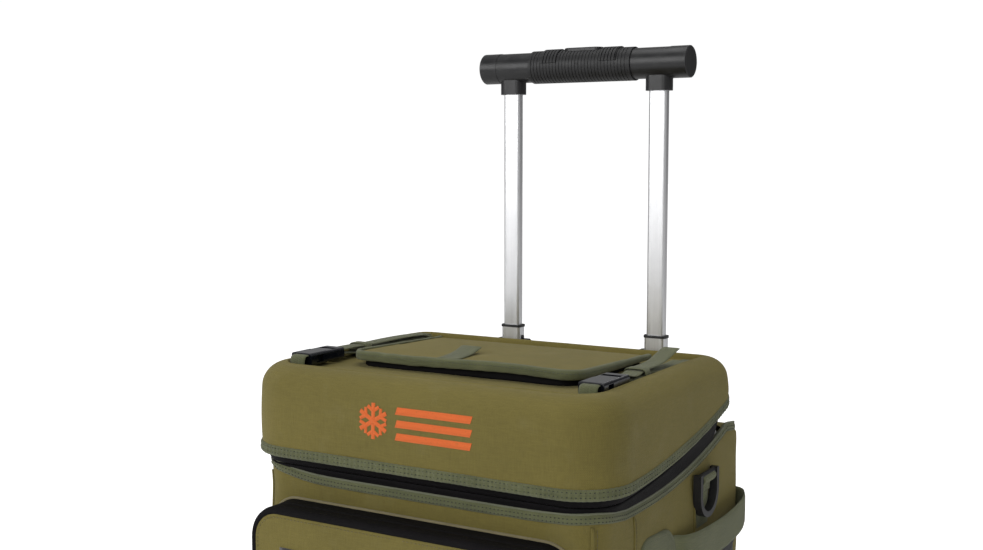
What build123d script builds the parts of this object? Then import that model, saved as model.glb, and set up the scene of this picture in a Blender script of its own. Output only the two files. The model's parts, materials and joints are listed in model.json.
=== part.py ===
from build123d import *
import math
import os

# Soft-sided cooler on wheels with a moulded lid and a two-stage pull handle.
# Millimetres. Origin on the ground under the middle of the object, +Z up, -Y to the front.

# ---- driving dimensions -------------------------------------------------------------------
body_half = 203            # half-width of the fabric body
body_front, body_back = -180, 216
body_floor = 60            # underside of the fabric body, where the base tray begins
front_radius, back_radius = 35, 25

lid_half = 218             # half-width of the moulded lid at its lower edge
lid_front, lid_back = -192, 156
lid_crest = 480            # top of the raised rim round the lid
lid_recess = 471           # sunk panel inside the rim
lid_shell_wall = 4

# Two edges run level along the front and sweep up to the back on an arc:
# (level height, y where the arc starts, arc radius)
lid_edge = (385, -160, 1100)         # lower edge of the lid
mouth = (363.5, -70, 810)            # mouth of the body, under the black zipper band
zip_drop = 9.3                       # where the zipper parts, below the lid's edge
lining_drop = 3.6                    # the foam and the liner end this far below the mouth
binding_height = 10
mouth_binding_height = 8.5
binding_thickness = 1.6
beyond = 260                         # a reach past every outer face, for cutting solids
fold = 0.4                 # gap left between pieces that part when something opens

hatch_half = 142
hatch_front, hatch_back = -100, 84
hatch_low, hatch_top = 477, 487
hatch_binding_top = 485
hole_half, hole_front, hole_back = 128, -84, 72      # opening in the lid under the hatch
tab_left, tab_right = -28, -2                        # pull tab on the hatch

leg_x, leg_y = 100, 197.2            # pull-handle legs
upper_leg = (23, 12)
middle_leg = (27, 16)
fixed_leg = (31, 20)
tube_wall = 1.2
middle_top = 483                     # top of the middle stage when it is down
socket_low = 781                     # lower end of the sockets under the handle bar
bar_z = 814
bar_radius = 18.6
cap_radius = 19
cap_length = 24
bar_half = 140
grip_half = 69
grip_radius = 20.3
groove_radius = 19.7       # bottom of the grooves in the rubber grip
groove_pitch, groove_count = 4.4, 30
lip_x, lip_width, lip_rise = 40, 22, 1.4     # raised saddles beside the button
socket_size, socket_round = (32, 22), 9
bezel_low, bezel_top = 455, 467
leg_floor = 34                       # lower end of the fixed legs

wheel_x, axle_y = 174, 169.2
wheel_radius = 50
wheel_width = 28
axle_radius = 4
axle_play = 0.05

tray_floor = 22
pocket_half, pocket_low, pocket_top = 185, 72, 338
pocket_front = -218                  # outer face of the front pocket
pocket_joint_y = -199.5              # where its zipper parts the cover from the body

strap_x, strap_width = 176, 20
side_handle_z, side_handle_width = 285, 38
ring_x, ring_y, ring_z = 210, 83, 354   # D-ring pivot bar


# ---- shared outlines ----------------------------------------------------------------------
def plan(half, front, back, r_front, r_back):
    """Rectangle seen from above, with its own corner radii at the front and the back."""
    face = Pos(0, (front + back) / 2) * Rectangle(2 * half, back - front)
    corners = face.vertices().sort_by(Axis.Y)
    face = fillet(corners[:2], r_front)
    return fillet(face.vertices().sort_by(Axis.Y)[-2:], r_back)


def slab(half, front, back, low, high, r_front, r_back):
    """A plan outline extruded from one height to another."""
    return extrude(Pos(0, 0, low) * plan(half, front, back, r_front, r_back), amount=high - low)


def edge_height(edge, y, drop):
    """Height of a swept edge at y, or of the line that runs drop below it."""
    level, bend_y, radius = edge
    if y <= bend_y:
        return level - drop
    return level + radius - math.sqrt((radius + drop) ** 2 - (y - bend_y) ** 2)


def below(edge, drop, floor=0):
    """Everything under a swept edge, or under the line drop below it."""
    bend_y, near, far = edge[1], -beyond, beyond
    middle = (bend_y + far) / 2
    start, bend, half_way, end = [(y, edge_height(edge, y, drop)) for y in (near, bend_y, middle, far)]
    border = Line(start, bend) + ThreePointArc(bend, half_way, end)
    border += Line(end, (far, floor)) + Line((far, floor), (near, floor)) + Line((near, floor), start)
    return extrude(Plane.YZ * make_face(border), amount=beyond, both=True)


def ring(inset, wall, upper, lower):
    """A band round the lid's outline, under one swept solid and above another."""
    outer = plan(lid_half - inset, lid_front + inset, lid_back - inset, 55 - inset / 2, 40 - inset / 2)
    hole = plan(lid_half - inset - wall, lid_front + inset + wall, lid_back - inset - wall,
                55 - inset / 2 - wall, 40 - inset / 2 - wall)
    tall = extrude(Pos(0, 0, 300) * (outer - hole), amount=170)
    return tall & (upper - lower)


def side_profile(points, half):
    """A closed outline of (y, z) points carried across the width."""
    return extrude(Plane.YZ * make_face(Polyline(*points, close=True)), amount=half, both=True)


def box(x0, x1, y0, y1, z0, z1):
    return Pos((x0 + x1) / 2, (y0 + y1) / 2, (z0 + z1) / 2) * Box(x1 - x0, y1 - y0, z1 - z0)


def both_sides(piece):
    """A piece and its mirror image on the other side."""
    return [piece, mirror(piece, Plane.YZ)]


def group(pieces):
    return Compound(children=list(pieces))


# ---- fabric body --------------------------------------------------------------------------
def body_outline(grow=0.0):
    """Outer form of the fabric body: a rounded box with a raised sleeve for the legs."""
    plan_box = slab(body_half + grow, body_front - grow, body_back + grow, body_floor, 470,
                    front_radius, back_radius)
    shoulder = side_profile([(152, 300), (152, 394), (192, 389), (210, 377), (230, 351), (230, 300)], beyond)
    low_part = plan_box & (below(mouth, 0) & box(-beyond, beyond, -beyond, 152, 0, 470))
    low_part += plan_box & (shoulder + box(-beyond, beyond, 152, beyond, 0, 300))
    sleeve_side = side_profile([(166, 360), (166, 428), (186, 454), (212, 454), (218, 448), (218, 360)], 170)
    trapezoid = Polyline((-181, 360), (181, 360), (136, 456), (-136, 456), close=True)
    sleeve_front = Plane.XZ * make_face(trapezoid)
    sleeve = sleeve_side & extrude(sleeve_front, amount=beyond, both=True)
    return low_part + sleeve


def wheel_wells(gap):
    """The two rear corners that the wheels and their housings take out of the body."""
    inner = wheel_x - wheel_width / 2 - 8 - gap
    return both_sides(box(inner, beyond, axle_y - 58 - gap, beyond, 0, 112 + gap))


def body_shell():
    outer = body_outline()
    tub = slab(body_half - 3, body_front + 3, 150, body_floor + 3, 470, front_radius - 3, 12)
    chamber = box(-190, 190, 154, 214, body_floor + 3, 372)
    sleeve = box(-128, 128, 172, 214, 370, 451)
    shell = outer - tub - chamber - sleeve
    for x in (-leg_x, leg_x):
        shell -= box(x - 20, x + 20, 187, 208, 440, 470)
    for well in wheel_wells(0):
        shell -= well
    return shell - box(-190, 190, 154, 214, 0, 80)


def foam():
    """Insulating foam tub that lines the fabric body."""
    outer = slab(199.6, body_front + 3.4, 149.6, body_floor + 3.4, 470, front_radius - 3.4, 11.6)
    hollow = slab(182, body_front + 21, 132, 84, 480, 24, 12)
    for well in wheel_wells(0.4):
        outer -= well
    for well in wheel_wells(8):
        hollow -= well
    return (outer - hollow) & below(mouth, lining_drop)


def liner():
    """Leakproof inner tub."""
    outer = slab(181.6, body_front + 21.4, 131.6, 84.4, 480, 23.6, 11.6)
    hollow = slab(180, body_front + 23, 130, 86, 480, 22, 10)
    for well in wheel_wells(8.4):
        outer -= well
    for well in wheel_wells(10):
        hollow -= well
    return (outer - hollow) & below(mouth, lining_drop)


def body_binding():
    """Webbing sewn round the mouth of the body, under the zipper band."""
    outer = plan(body_half + binding_thickness, body_front - binding_thickness, 260,
                 front_radius + binding_thickness, 20)
    hole = plan(body_half, body_front, 262, front_radius, 20)
    tall = extrude(Pos(0, 0, 300) * (outer - hole), amount=170)
    top = 0.6
    strip = tall & (below(mouth, top) - below(mouth, top + mouth_binding_height))
    return strip & box(-beyond, beyond, -beyond, 150, 0, 470)


# ---- black base, feet and wheels ----------------------------------------------------------
def tail_wedge(start):
    """The sloped cut under the back edge, which clears the ground when the cooler tilts."""
    low = tray_floor - 1
    return side_profile([(start, low), (240, low), (240, low + 240 - start)], 260)


def base_tray():
    outer = slab(body_half - 1, body_front + 2, body_back - 2, tray_floor, body_floor, front_radius - 2, 23)
    hollow = slab(
        body_half - 5, body_front + 6, body_back - 6, tray_floor + 4, body_floor + 1, front_radius - 6, 19
    )
    hollow -= tail_wedge(196)
    tray = chamfer(outer.faces().sort_by(Axis.Z)[0].edges(), 5) - hollow
    for well in wheel_wells(0):
        tray -= well
    ribs = [box(x - 2, x + 2, -160, 176, tray_floor + 4, 50) for x in (-70, 0, 70)]
    for rib in ribs:
        tray += rib
    return tray - tail_wedge(202)


def feet():
    """Two moulded front feet that hold the cooler level with its wheels."""
    foot = slab(30, -162, -122, 0, tray_floor, 14, 14)
    foot = chamfer(foot.faces().sort_by(Axis.Z)[0].edges(), 3)
    return group([Pos(x, 0, 0) * foot for x in (-140, 140)])


def tray_screws():
    """Pan-head screws that hold the feet and the leg bracket to the tray."""
    heads = []
    for x in (-40, 40):
        for y in (100, 150):
            heads.append(Pos(x, y, tray_floor - 1) * Cylinder(4, 2))
    return group(heads)


def wheel_housing(side):
    """Moulded arch over one wheel, closed on the inner side and open outward."""
    inner = wheel_x - wheel_width / 2 - 8
    block = slab(body_half - 0.4, body_front, body_back, tray_floor, 111.6, front_radius, back_radius)
    block &= box(inner + 0.4, 260, axle_y - 57.6, 260, 0, 200)
    space = Pos(inner + 5, axle_y, wheel_radius) * Rot(0, 90, 0) * Cylinder(
        wheel_radius + 4.5, 120, align=(Align.CENTER, Align.CENTER, Align.MIN))
    space += box(inner + 5, inner + 125, axle_y - 54.5, 260, 0, wheel_radius)
    block -= space
    block -= Pos(inner, axle_y, wheel_radius) * Rot(0, 90, 0) * Cylinder(axle_radius, 30)
    return block if side > 0 else mirror(block, Plane.YZ)


def axle(side):
    """Steel stub axle with a head outside the hub."""
    start = wheel_x - wheel_width / 2 - 6
    end = wheel_x + wheel_width / 2 + 1
    pin = Pos((start + end) / 2, axle_y, wheel_radius) * Rot(0, 90, 0) * Cylinder(axle_radius, end - start)
    head = Pos(end + 1.5, axle_y, wheel_radius) * Rot(0, 90, 0) * Cylinder(7, 3)
    part = pin + head
    return part if side > 0 else mirror(part, Plane.YZ)


def wheel_hub(side):
    """Plastic hub with a recessed web and six windows."""
    hub = Cylinder(38, wheel_width)
    hub -= Pos(0, 0, wheel_width / 2) * (Cylinder(33, 16) - Cylinder(11, 16))
    hub -= Pos(0, 0, -wheel_width / 2) * (Cylinder(33, 16) - Cylinder(11, 16))
    for turn in range(6):
        hub -= Rot(0, 0, 60 * turn) * Pos(22, 0, 0) * Cylinder(6, wheel_width)
    hub -= Cylinder(axle_radius + axle_play, wheel_width)
    part = Pos(wheel_x, axle_y, wheel_radius) * Rot(0, 90, 0) * hub
    return part if side > 0 else mirror(part, Plane.YZ)


def tyre(side):
    """Soft tread pressed over the hub."""
    tread = Cylinder(wheel_radius, wheel_width)
    tread = fillet(tread.edges().filter_by(GeomType.CIRCLE), 4) - Cylinder(38, wheel_width)
    for turn in (-7, 0, 7):
        tread -= Pos(0, 0, turn) * (Cylinder(wheel_radius + 1, 2) - Cylinder(wheel_radius - 1.5, 2))
    part = Pos(wheel_x, axle_y, wheel_radius) * Rot(0, 90, 0) * tread
    return part if side > 0 else mirror(part, Plane.YZ)


# ---- pull handle --------------------------------------------------------------------------
def tube(size, low, high, radius):
    """Hollow rounded-rectangle tube standing at the origin."""
    outer = RectangleRounded(size[0], size[1], radius)
    hole = RectangleRounded(size[0] - 2 * tube_wall, size[1] - 2 * tube_wall, radius - tube_wall)
    return extrude(Pos(0, 0, low) * (outer - hole), amount=high - low)


def on_legs(piece):
    return group([Pos(x, leg_y, 0) * piece for x in (-leg_x, leg_x)])


def fixed_legs():
    return on_legs(tube(fixed_leg, leg_floor, bezel_low, 5))


def leg_bracket():
    """Moulded foot that ties the two fixed legs together inside the base tray."""
    block = box(-128, 128, 184, 210, tray_floor + 4.2, 50)
    for x in (-leg_x, leg_x):
        block -= Pos(x, leg_y, leg_floor) * extrude(RectangleRounded(*fixed_leg, 5), amount=40)
    return block - tail_wedge(195.6)


def leg_bezels():
    """Black collars where the legs leave the top of the back sleeve."""
    plate = extrude(Pos(0, 0, bezel_low) * RectangleRounded(46, 23, 6), amount=bezel_top - bezel_low)
    top_edges = plate.faces().sort_by(Axis.Z)[-1].edges()
    plate = chamfer(top_edges, 1.5)
    plate -= extrude(Pos(0, 0, bezel_low) * RectangleRounded(middle_leg[0] + 0.8, middle_leg[1] + 0.8, 4.4),
                     amount=20)
    return on_legs(plate)


def middle_legs():
    return on_legs(tube(middle_leg, 55, middle_top, 4))


def middle_collars():
    """Thin black rings that cap the middle stage."""
    rim = extrude(Pos(0, 0, middle_top) * RectangleRounded(29, 18, 5), amount=3)
    rim -= extrude(Pos(0, 0, middle_top) * RectangleRounded(upper_leg[0] + 0.8, upper_leg[1] + 0.8, 3.9),
                   amount=3)
    return on_legs(rim)


def middle_stops():
    """Small black stop studs on the outer narrow side of each middle leg."""
    stud = Pos(middle_leg[0] / 2 + 0.75, 0, 470) * Rot(0, 90, 0) * Cylinder(2.6, 1.5)
    return group([Pos(leg_x, leg_y, 0) * stud, Pos(-leg_x, leg_y, 0) * stud])


def middle_glides():
    """Plastic bushes at the foot of the middle stage, running inside the fixed legs."""
    bush = extrude(Pos(0, 0, 43) * RectangleRounded(28, 17, 4.4), amount=12)
    return on_legs(bush)


def upper_legs():
    return on_legs(tube(upper_leg, 411, socket_low + 16, 3.5))


def upper_glides():
    """Plastic bushes at the foot of the upper stage, running inside the middle legs."""
    bush = extrude(Pos(0, 0, 399) * RectangleRounded(24, 13, 3.4), amount=12)
    return on_legs(bush)


def along_bar(radius, length):
    return Pos(0, leg_y, bar_z) * Rot(0, 90, 0) * Cylinder(radius, length)


def button_slot(grow):
    return extrude(Pos(0, leg_y, bar_z) * SlotOverall(52 + 2 * grow, 18 + 2 * grow), amount=60)


def handle_bar():
    """Cross bar with a blended socket over each leg."""
    bar = along_bar(bar_radius, 2 * (bar_half - cap_length))
    for x in (-leg_x, leg_x):
        socket = extrude(RectangleRounded(*socket_size, socket_round), amount=bar_z - socket_low)
        bar += Pos(x, leg_y, socket_low) * socket
    bar -= along_bar(15.5, 2 * grip_half - 4)
    for x in (-leg_x, leg_x):
        bar -= Pos(x, leg_y, socket_low) * extrude(RectangleRounded(*upper_leg, 3.5), amount=16)
    return bar - button_slot(0.4)


def handle_end_caps():
    cap = Pos(bar_half - cap_length / 2, leg_y, bar_z) * Rot(0, 90, 0) * Cylinder(cap_radius, cap_length)
    cap = chamfer(cap.faces().sort_by(Axis.X)[-1].edges(), 0.8)
    return group(both_sides(cap))


def grip():
    """Ribbed rubber sleeve round the middle of the bar."""
    sleeve = along_bar(grip_radius, 2 * grip_half)
    for x in (-lip_x, lip_x):
        lip = Pos(x, 0, 0) * along_bar(grip_radius + lip_rise, lip_width)
        sleeve += lip & box(-beyond, beyond, -beyond, beyond, bar_z + 4, 2 * bar_z)
    for step in range(groove_count):
        x = -grip_half + groove_pitch * (step + 1)
        washer = Cylinder(grip_radius + 3, 1) - Cylinder(groove_radius, 1)
        groove = Pos(x, leg_y, bar_z) * Rot(0, 90, 0) * washer
        sleeve -= groove
    sleeve -= along_bar(bar_radius, 2 * grip_half)
    return sleeve - button_slot(0.4)


def release_button():
    cap = Pos(0, leg_y, bar_z + 11) * extrude(SlotOverall(52, 18), amount=11)
    return fillet(cap.faces().sort_by(Axis.Z)[-1].edges(), 1.5)


def button_spring():
    """Bowed leaf spring that pushes the button back up."""
    inner = ThreePointArc((-34, 0), (0, 20), (34, 0))
    outer = ThreePointArc((-35.5, 0), (0, 21.2), (35.5, 0))
    ends = Line((-35.5, 0), (-34, 0)) + Line((34, 0), (35.5, 0))
    strip = extrude(Plane.XZ * make_face(inner + outer + ends), amount=4, both=True)
    return Pos(0, leg_y, bar_z - 10.4) * strip


# ---- lid ----------------------------------------------------------------------------------
def hatch_hole(grow=0.0):
    return slab(hole_half + grow, hole_front - grow, hole_back + grow, 380, 490, 24, 20)


def lid_shell():
    """Moulded lid: tall sides, soft upper edge, a raised rim and a hatch opening."""
    outer = slab(lid_half, lid_front, lid_back, 375, lid_crest, 55, 40)
    outer = fillet(outer.faces().sort_by(Axis.Z)[-1].edges(), 24)
    wall = lid_shell_wall
    hollow = slab(lid_half - wall, lid_front + wall, lid_back - wall, 370, lid_recess - wall, 51, 36)
    hollow = fillet(hollow.faces().sort_by(Axis.Z)[-1].edges(), 14)
    dish = slab(lid_half - 27, lid_front + 30, lid_back - 30, lid_recess, 490, 24, 18)
    return outer - hollow - dish - hatch_hole() - below(lid_edge, 0)


def lid_binding():
    upper, lower = below(lid_edge, -binding_height), below(lid_edge, 0)
    return ring(-binding_thickness, binding_thickness, upper, lower)


def lid_foam():
    outer = slab(lid_half - 4.6, lid_front + 4.6, lid_back - 4.6, 440, lid_recess - 4.4, 50, 35)
    edges = outer.faces().sort_by(Axis.Z)[-1].edges()
    return fillet(edges, 15) - hatch_hole(1)


def lid_liner():
    return slab(lid_half - 5, lid_front + 5, lid_back - 5, 437.5, 439.6, 50, 35) - hatch_hole(1)


def upper_tape():
    """Zipper tape sewn inside the lid's edge; it leaves with the lid."""
    return ring(lid_shell_wall, 5.4, below(lid_edge, -5), below(lid_edge, zip_drop))


def lower_tape():
    """Zipper tape sewn inside the mouth of the body."""
    return ring(7, 12, below(lid_edge, zip_drop + fold), below(mouth, 0))


def hinge_strip():
    """Fabric strip between the body's sleeve and the lid's back edge."""
    return box(-150, 150, 161, 165.6, 417, 434)


def hatch_wall():
    """Black zipper wall that stands round the hatch opening on the lid."""
    outer = slab(136, -93, 80, lid_recess, hatch_low - fold, 30, 22)
    return outer - hatch_hole(2)


def hatch_panel():
    """Padded flap over the hatch opening."""
    panel = slab(hatch_half - 2, hatch_front + 2, hatch_back, hatch_low, hatch_top, 34, 22)
    return fillet(panel.faces().sort_by(Axis.Z)[-1].edges(), 5)


def hatch_edge():
    """Webbing bound round the flap's edge."""
    outer = slab(hatch_half, hatch_front, hatch_back, hatch_low, hatch_binding_top, 36, 22)
    inner = slab(hatch_half - 2, hatch_front + 2, hatch_back + 5, hatch_low, hatch_binding_top, 34, 2)
    return outer - inner


def hatch_foam():
    plug = slab(118, -72, 62, 448, hatch_low - 0.2, 20, 18)
    return chamfer(plug.faces().sort_by(Axis.Z)[0].edges(), 4)


def hatch_tab():
    """Webbing pull tab sewn to the front of the flap."""
    return box(tab_left, tab_right, -96, -46, hatch_top + 0.3, hatch_top + 2.3)


# ---- straps and buckles on the lid --------------------------------------------------------
buckle_front, buckle_seat = -140, -112
buckle_low, buckle_top = 474, 488
buckle_half = 14
plug_end = buckle_seat + 31
strap_front, strap_back = -75, 115
half_strap = strap_width / 2


def strap(side):
    """Long webbing strap from the buckle to the back of the lid."""
    x = side * strap_x
    return box(x - half_strap, x + half_strap, strap_front, strap_back, lid_recess + 6, lid_recess + 8)


def strap_anchor(side):
    """Short webbing loop that holds the buckle socket to the lid."""
    x = side * strap_x
    return box(x - half_strap, x + half_strap, -147, buckle_front, lid_recess + 4, lid_recess + 6.5)


def buckle_socket(side):
    """Female half of a side-release buckle."""
    x, half = side * strap_x, buckle_half
    shell = box(x - half, x + half, buckle_front, buckle_seat, buckle_low, buckle_top)
    shell = fillet(shell.edges().filter_by(Axis.Y), 3)
    shell -= box(x - half + 3, x + half - 3, buckle_front + 4, buckle_seat, buckle_low + 3, buckle_top - 3)
    return shell - box(x - 25, x + 25, buckle_front + 9, buckle_seat - 7, buckle_low + 3, buckle_top - 3)


def buckle_plug(side):
    """Male half: two sprung prongs, a guide and a slotted bar for the strap."""
    x, half = side * strap_x, buckle_half - 0.5
    low, high = buckle_low + 3.5, buckle_top - 3.5
    plug = box(x - half, x + half, buckle_seat + 0.5, plug_end, buckle_low + 1, buckle_top - 0.5)
    plug = fillet(plug.edges().filter_by(Axis.Y), 2.5)
    slot = half_strap + 0.6
    plug -= box(x - slot, x + slot, buckle_seat + 7, plug_end + 1, lid_recess + 5.2, lid_recess + 9)
    plug -= box(x - slot, x + slot, buckle_seat + 14, buckle_seat + 22, buckle_low, buckle_top)
    for prong in (-8.5, 0, 8.5):
        plug += box(x + prong - 2, x + prong + 2, buckle_seat - 18, buckle_seat + 1, low, high)
    return plug


# ---- front pocket -------------------------------------------------------------------------
def pocket_block(back, front, inset):
    """Rounded block of the pocket between two depths, smaller all round by inset."""
    width, height = 2 * (pocket_half - inset), pocket_top - pocket_low - 2 * inset
    middle = (pocket_top + pocket_low) / 2
    face = Plane(origin=(0, back, middle), x_dir=(1, 0, 0), z_dir=(0, -1, 0)) * RectangleRounded(
        width, height, 30 - inset)
    return extrude(face, amount=back - front)


def pocket_rear_tape():
    """Black gusset sewn to the body round the pocket."""
    back, front = body_front - 0.1, pocket_joint_y + fold
    return pocket_block(back, front, 0) - pocket_block(back, front, 3)


def pocket_cover():
    """Front panel of the pocket with its half of the gusset."""
    cover = pocket_block(pocket_joint_y, pocket_front, 0)
    cover = fillet(cover.faces().sort_by(Axis.Y)[0].edges(), 6)
    return cover - pocket_block(pocket_joint_y, pocket_front + 3, 3)


def pocket_patch():
    """Black loop-fabric patch on the pocket."""
    return box(-143, 143, pocket_front - 1.2, pocket_front - 0.1, 150, 297)


# ---- side pieces --------------------------------------------------------------------------
def side_handle(side):
    """Webbing grab handle, sewn to the side at the front, standing off it and wrapping the back corner."""
    outer = [(205, -88), (205, 0), (217, 26), (219, 110), (218, 186), (213, 207), (199, 218.4), (150, 218.4)]
    inner = [(203.2, -88), (203.2, 2), (214.8, 28), (216.8, 110), (215.8, 185), (211.2, 205.6),
             (198, 216.2), (150, 216.2)]
    face = make_face(Polyline(*outer, *reversed(inner), close=True))
    strip = extrude(Pos(0, 0, side_handle_z - side_handle_width / 2) * face, amount=side_handle_width)
    return strip if side > 0 else mirror(strip, Plane.YZ)


def ring_loop(side):
    """Webbing loop that carries the D-ring's straight bar."""
    strap_part = box(203.2, 204.8, ring_y - 19, ring_y + 19, 308, ring_z + 4)
    eye = box(204.8, 215.6, ring_y - 19, ring_y + 19, ring_z - 5.5, ring_z + 5.5)
    eye = fillet(eye.edges().filter_by(Axis.Y).sort_by(Axis.X)[-2:], 5)
    eye -= Pos(ring_x, ring_y, ring_z) * Rot(90, 0, 0) * Cylinder(3.1, 60)
    part = strap_part + eye
    return part if side > 0 else mirror(part, Plane.YZ)


def d_ring(side):
    """Moulded D-ring that swings on its straight bar."""
    reach, wall, thick = 28, 6.5, 9
    bar = Rot(90, 0, 0) * Cylinder(3, 2 * (reach - wall) + 2)
    bow = Pos(0, 0, -20) * Rot(0, 90, 0) * (Cylinder(reach, thick) - Cylinder(reach - wall, thick))
    bow &= box(-thick, thick, -40, 40, -60, -20)
    part = bar + bow
    for y in (wall / 2 - reach, reach - wall / 2):
        part += Pos(0, y, -8.5) * Box(thick, wall, 23)
    part = Pos(ring_x, ring_y, ring_z) * part
    return part if side > 0 else mirror(part, Plane.YZ)


def mesh_pocket(side):
    """Open-topped mesh pouch sewn to the side."""
    outer = box(203.2, 213, -44, 190, 114, 246)
    outer = chamfer(outer.edges().filter_by(Axis.Z).sort_by(Axis.X)[-2:], 8)
    pouch = outer - box(203.2, 211.4, -34, 180, 118, 260)
    return pouch if side > 0 else mirror(pouch, Plane.YZ)


def pocket_elastic(side):
    """Black elastic binding along the top of the mesh pouch."""
    outer = box(203.2, 213.6, -45, 191, 246, 256)
    outer = chamfer(outer.edges().filter_by(Axis.Z).sort_by(Axis.X)[-2:], 8)
    strip = outer - box(203.2, 211, -34, 180, 240, 260)
    return strip if side > 0 else mirror(strip, Plane.YZ)


# ---- zipper sliders -----------------------------------------------------------------------
main_slider_front_y, main_slider_rear_y = -78, -58
slider_face = lid_shell_wall - lid_half   # outer face of the zipper tape on the left side


def slider_at(x, y, z, size):
    """Cast slider body, centred, with a small bridge for its puller."""
    body = Box(*size)
    return Pos(x, y, z) * fillet(body.edges().filter_by(Axis.Z if size[2] > size[1] else Axis.Y), 1)


def main_slider(y):
    z = edge_height(lid_edge, y, zip_drop + fold / 2)
    return slider_at(slider_face - 2.1, y, z, (3.4, 12, 9))


def main_puller(y):
    """Tab that hangs from the slider."""
    z = edge_height(lid_edge, y, zip_drop + fold / 2)
    tab = box(slider_face - 5.6, slider_face - 4.3, y - 3, y + 3, z - 28, z + 0.6)
    return chamfer(tab.edges().filter_by(Axis.X), 0.5)


def hatch_slider():
    return slider_at(-139.2, 40, 473, (5, 10, 3.2))


pocket_slider_x, pocket_slider_z = pocket_half + 2.6, 118


def pocket_slider():
    return slider_at(pocket_slider_x, pocket_joint_y, pocket_slider_z, (4.4, 9, 12))


def pocket_puller():
    x, y, z = pocket_slider_x, pocket_joint_y, pocket_slider_z
    tab = box(x + 2.9, x + 4.5, y - 3, y + 3, z - 26, z + 0.7)
    return chamfer(tab.edges().filter_by(Axis.X), 0.5)


# ---- files --------------------------------------------------------------------------------
nodes = {
    "body_shell": body_shell(),
    "body_foam": foam(),
    "inner_liner": liner(),
    "body_binding": body_binding(),
    "base_tray": base_tray(),
    "front_feet": feet(),
    "tray_screws": tray_screws(),
    "fixed_legs": fixed_legs(),
    "leg_bracket": leg_bracket(),
    "leg_bezels": leg_bezels(),
    "middle_legs": middle_legs(),
    "middle_collars": middle_collars(),
    "middle_stops": middle_stops(),
    "middle_glides": middle_glides(),
    "upper_legs": upper_legs(),
    "upper_glides": upper_glides(),
    "handle_bar": handle_bar(),
    "handle_end_caps": handle_end_caps(),
    "grip_sleeve": grip(),
    "release_button": release_button(),
    "button_spring": button_spring(),
    "lid_shell": lid_shell(),
    "lid_binding": lid_binding(),
    "lid_foam": lid_foam(),
    "lid_liner": lid_liner(),
    "upper_zipper_tape": upper_tape(),
    "lower_zipper_tape": lower_tape(),
    "hinge_strip": hinge_strip(),
    "hatch_zipper_wall": hatch_wall(),
    "hatch_panel": hatch_panel(),
    "hatch_binding": hatch_edge(),
    "hatch_foam": hatch_foam(),
    "hatch_pull_tab": hatch_tab(),
    "pocket_rear_tape": pocket_rear_tape(),
    "pocket_cover": pocket_cover(),
    "pocket_patch": pocket_patch(),
    "main_slider_front": main_slider(main_slider_front_y),
    "main_puller_front": main_puller(main_slider_front_y),
    "main_slider_rear": main_slider(main_slider_rear_y),
    "main_puller_rear": main_puller(main_slider_rear_y),
    "hatch_slider": hatch_slider(),
    "pocket_slider": pocket_slider(),
    "pocket_puller": pocket_puller(),
}
paired = {
    "wheel_hub": wheel_hub, "tyre": tyre, "buckle_plug": buckle_plug, "d_ring": d_ring,
}
for part_name, maker in paired.items():
    nodes["left_" + part_name] = maker(-1)
    nodes["right_" + part_name] = maker(1)
matching = {
    "wheel_housings": wheel_housing, "axles": axle, "straps": strap, "strap_anchors": strap_anchor,
    "buckle_sockets": buckle_socket, "side_handles": side_handle, "ring_loops": ring_loop,
    "mesh_pockets": mesh_pocket, "pocket_elastics": pocket_elastic,
}
for part_name, maker in matching.items():
    nodes[part_name] = group([maker(-1), maker(1)])

os.makedirs("parts", exist_ok=True)
for node_name, solid in nodes.items():
    export_step(solid, "parts/" + node_name + ".step")
print(len(nodes), "nodes")
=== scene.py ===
import json
import math

import bpy
import numpy as np
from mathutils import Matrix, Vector, noise


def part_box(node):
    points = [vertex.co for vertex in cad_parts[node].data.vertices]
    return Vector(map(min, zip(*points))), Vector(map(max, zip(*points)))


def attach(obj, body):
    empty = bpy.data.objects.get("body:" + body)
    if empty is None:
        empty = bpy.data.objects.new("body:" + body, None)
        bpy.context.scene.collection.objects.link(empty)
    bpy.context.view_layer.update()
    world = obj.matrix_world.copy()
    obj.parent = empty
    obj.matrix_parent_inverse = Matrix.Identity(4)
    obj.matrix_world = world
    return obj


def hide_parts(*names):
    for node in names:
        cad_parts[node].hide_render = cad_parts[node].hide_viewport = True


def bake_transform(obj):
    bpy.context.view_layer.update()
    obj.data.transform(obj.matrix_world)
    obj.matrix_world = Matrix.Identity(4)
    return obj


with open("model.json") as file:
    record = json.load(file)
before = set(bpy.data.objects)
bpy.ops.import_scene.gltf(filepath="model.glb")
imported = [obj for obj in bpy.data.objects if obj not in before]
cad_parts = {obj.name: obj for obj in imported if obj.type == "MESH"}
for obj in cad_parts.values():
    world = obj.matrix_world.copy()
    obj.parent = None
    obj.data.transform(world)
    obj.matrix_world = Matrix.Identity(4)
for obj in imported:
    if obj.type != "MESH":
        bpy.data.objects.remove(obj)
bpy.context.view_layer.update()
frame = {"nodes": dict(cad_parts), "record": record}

# Looks of a soft cooler on wheels. Lengths below are in millimetres in the CAD frame; MM turns
# them into metres when a mesh is made.
MM = 0.001


def cad(node):
    """Lowest and highest corner of a CAD node, in millimetres."""
    low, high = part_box(node)
    return np.array(low) / MM, np.array(high) / MM


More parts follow.
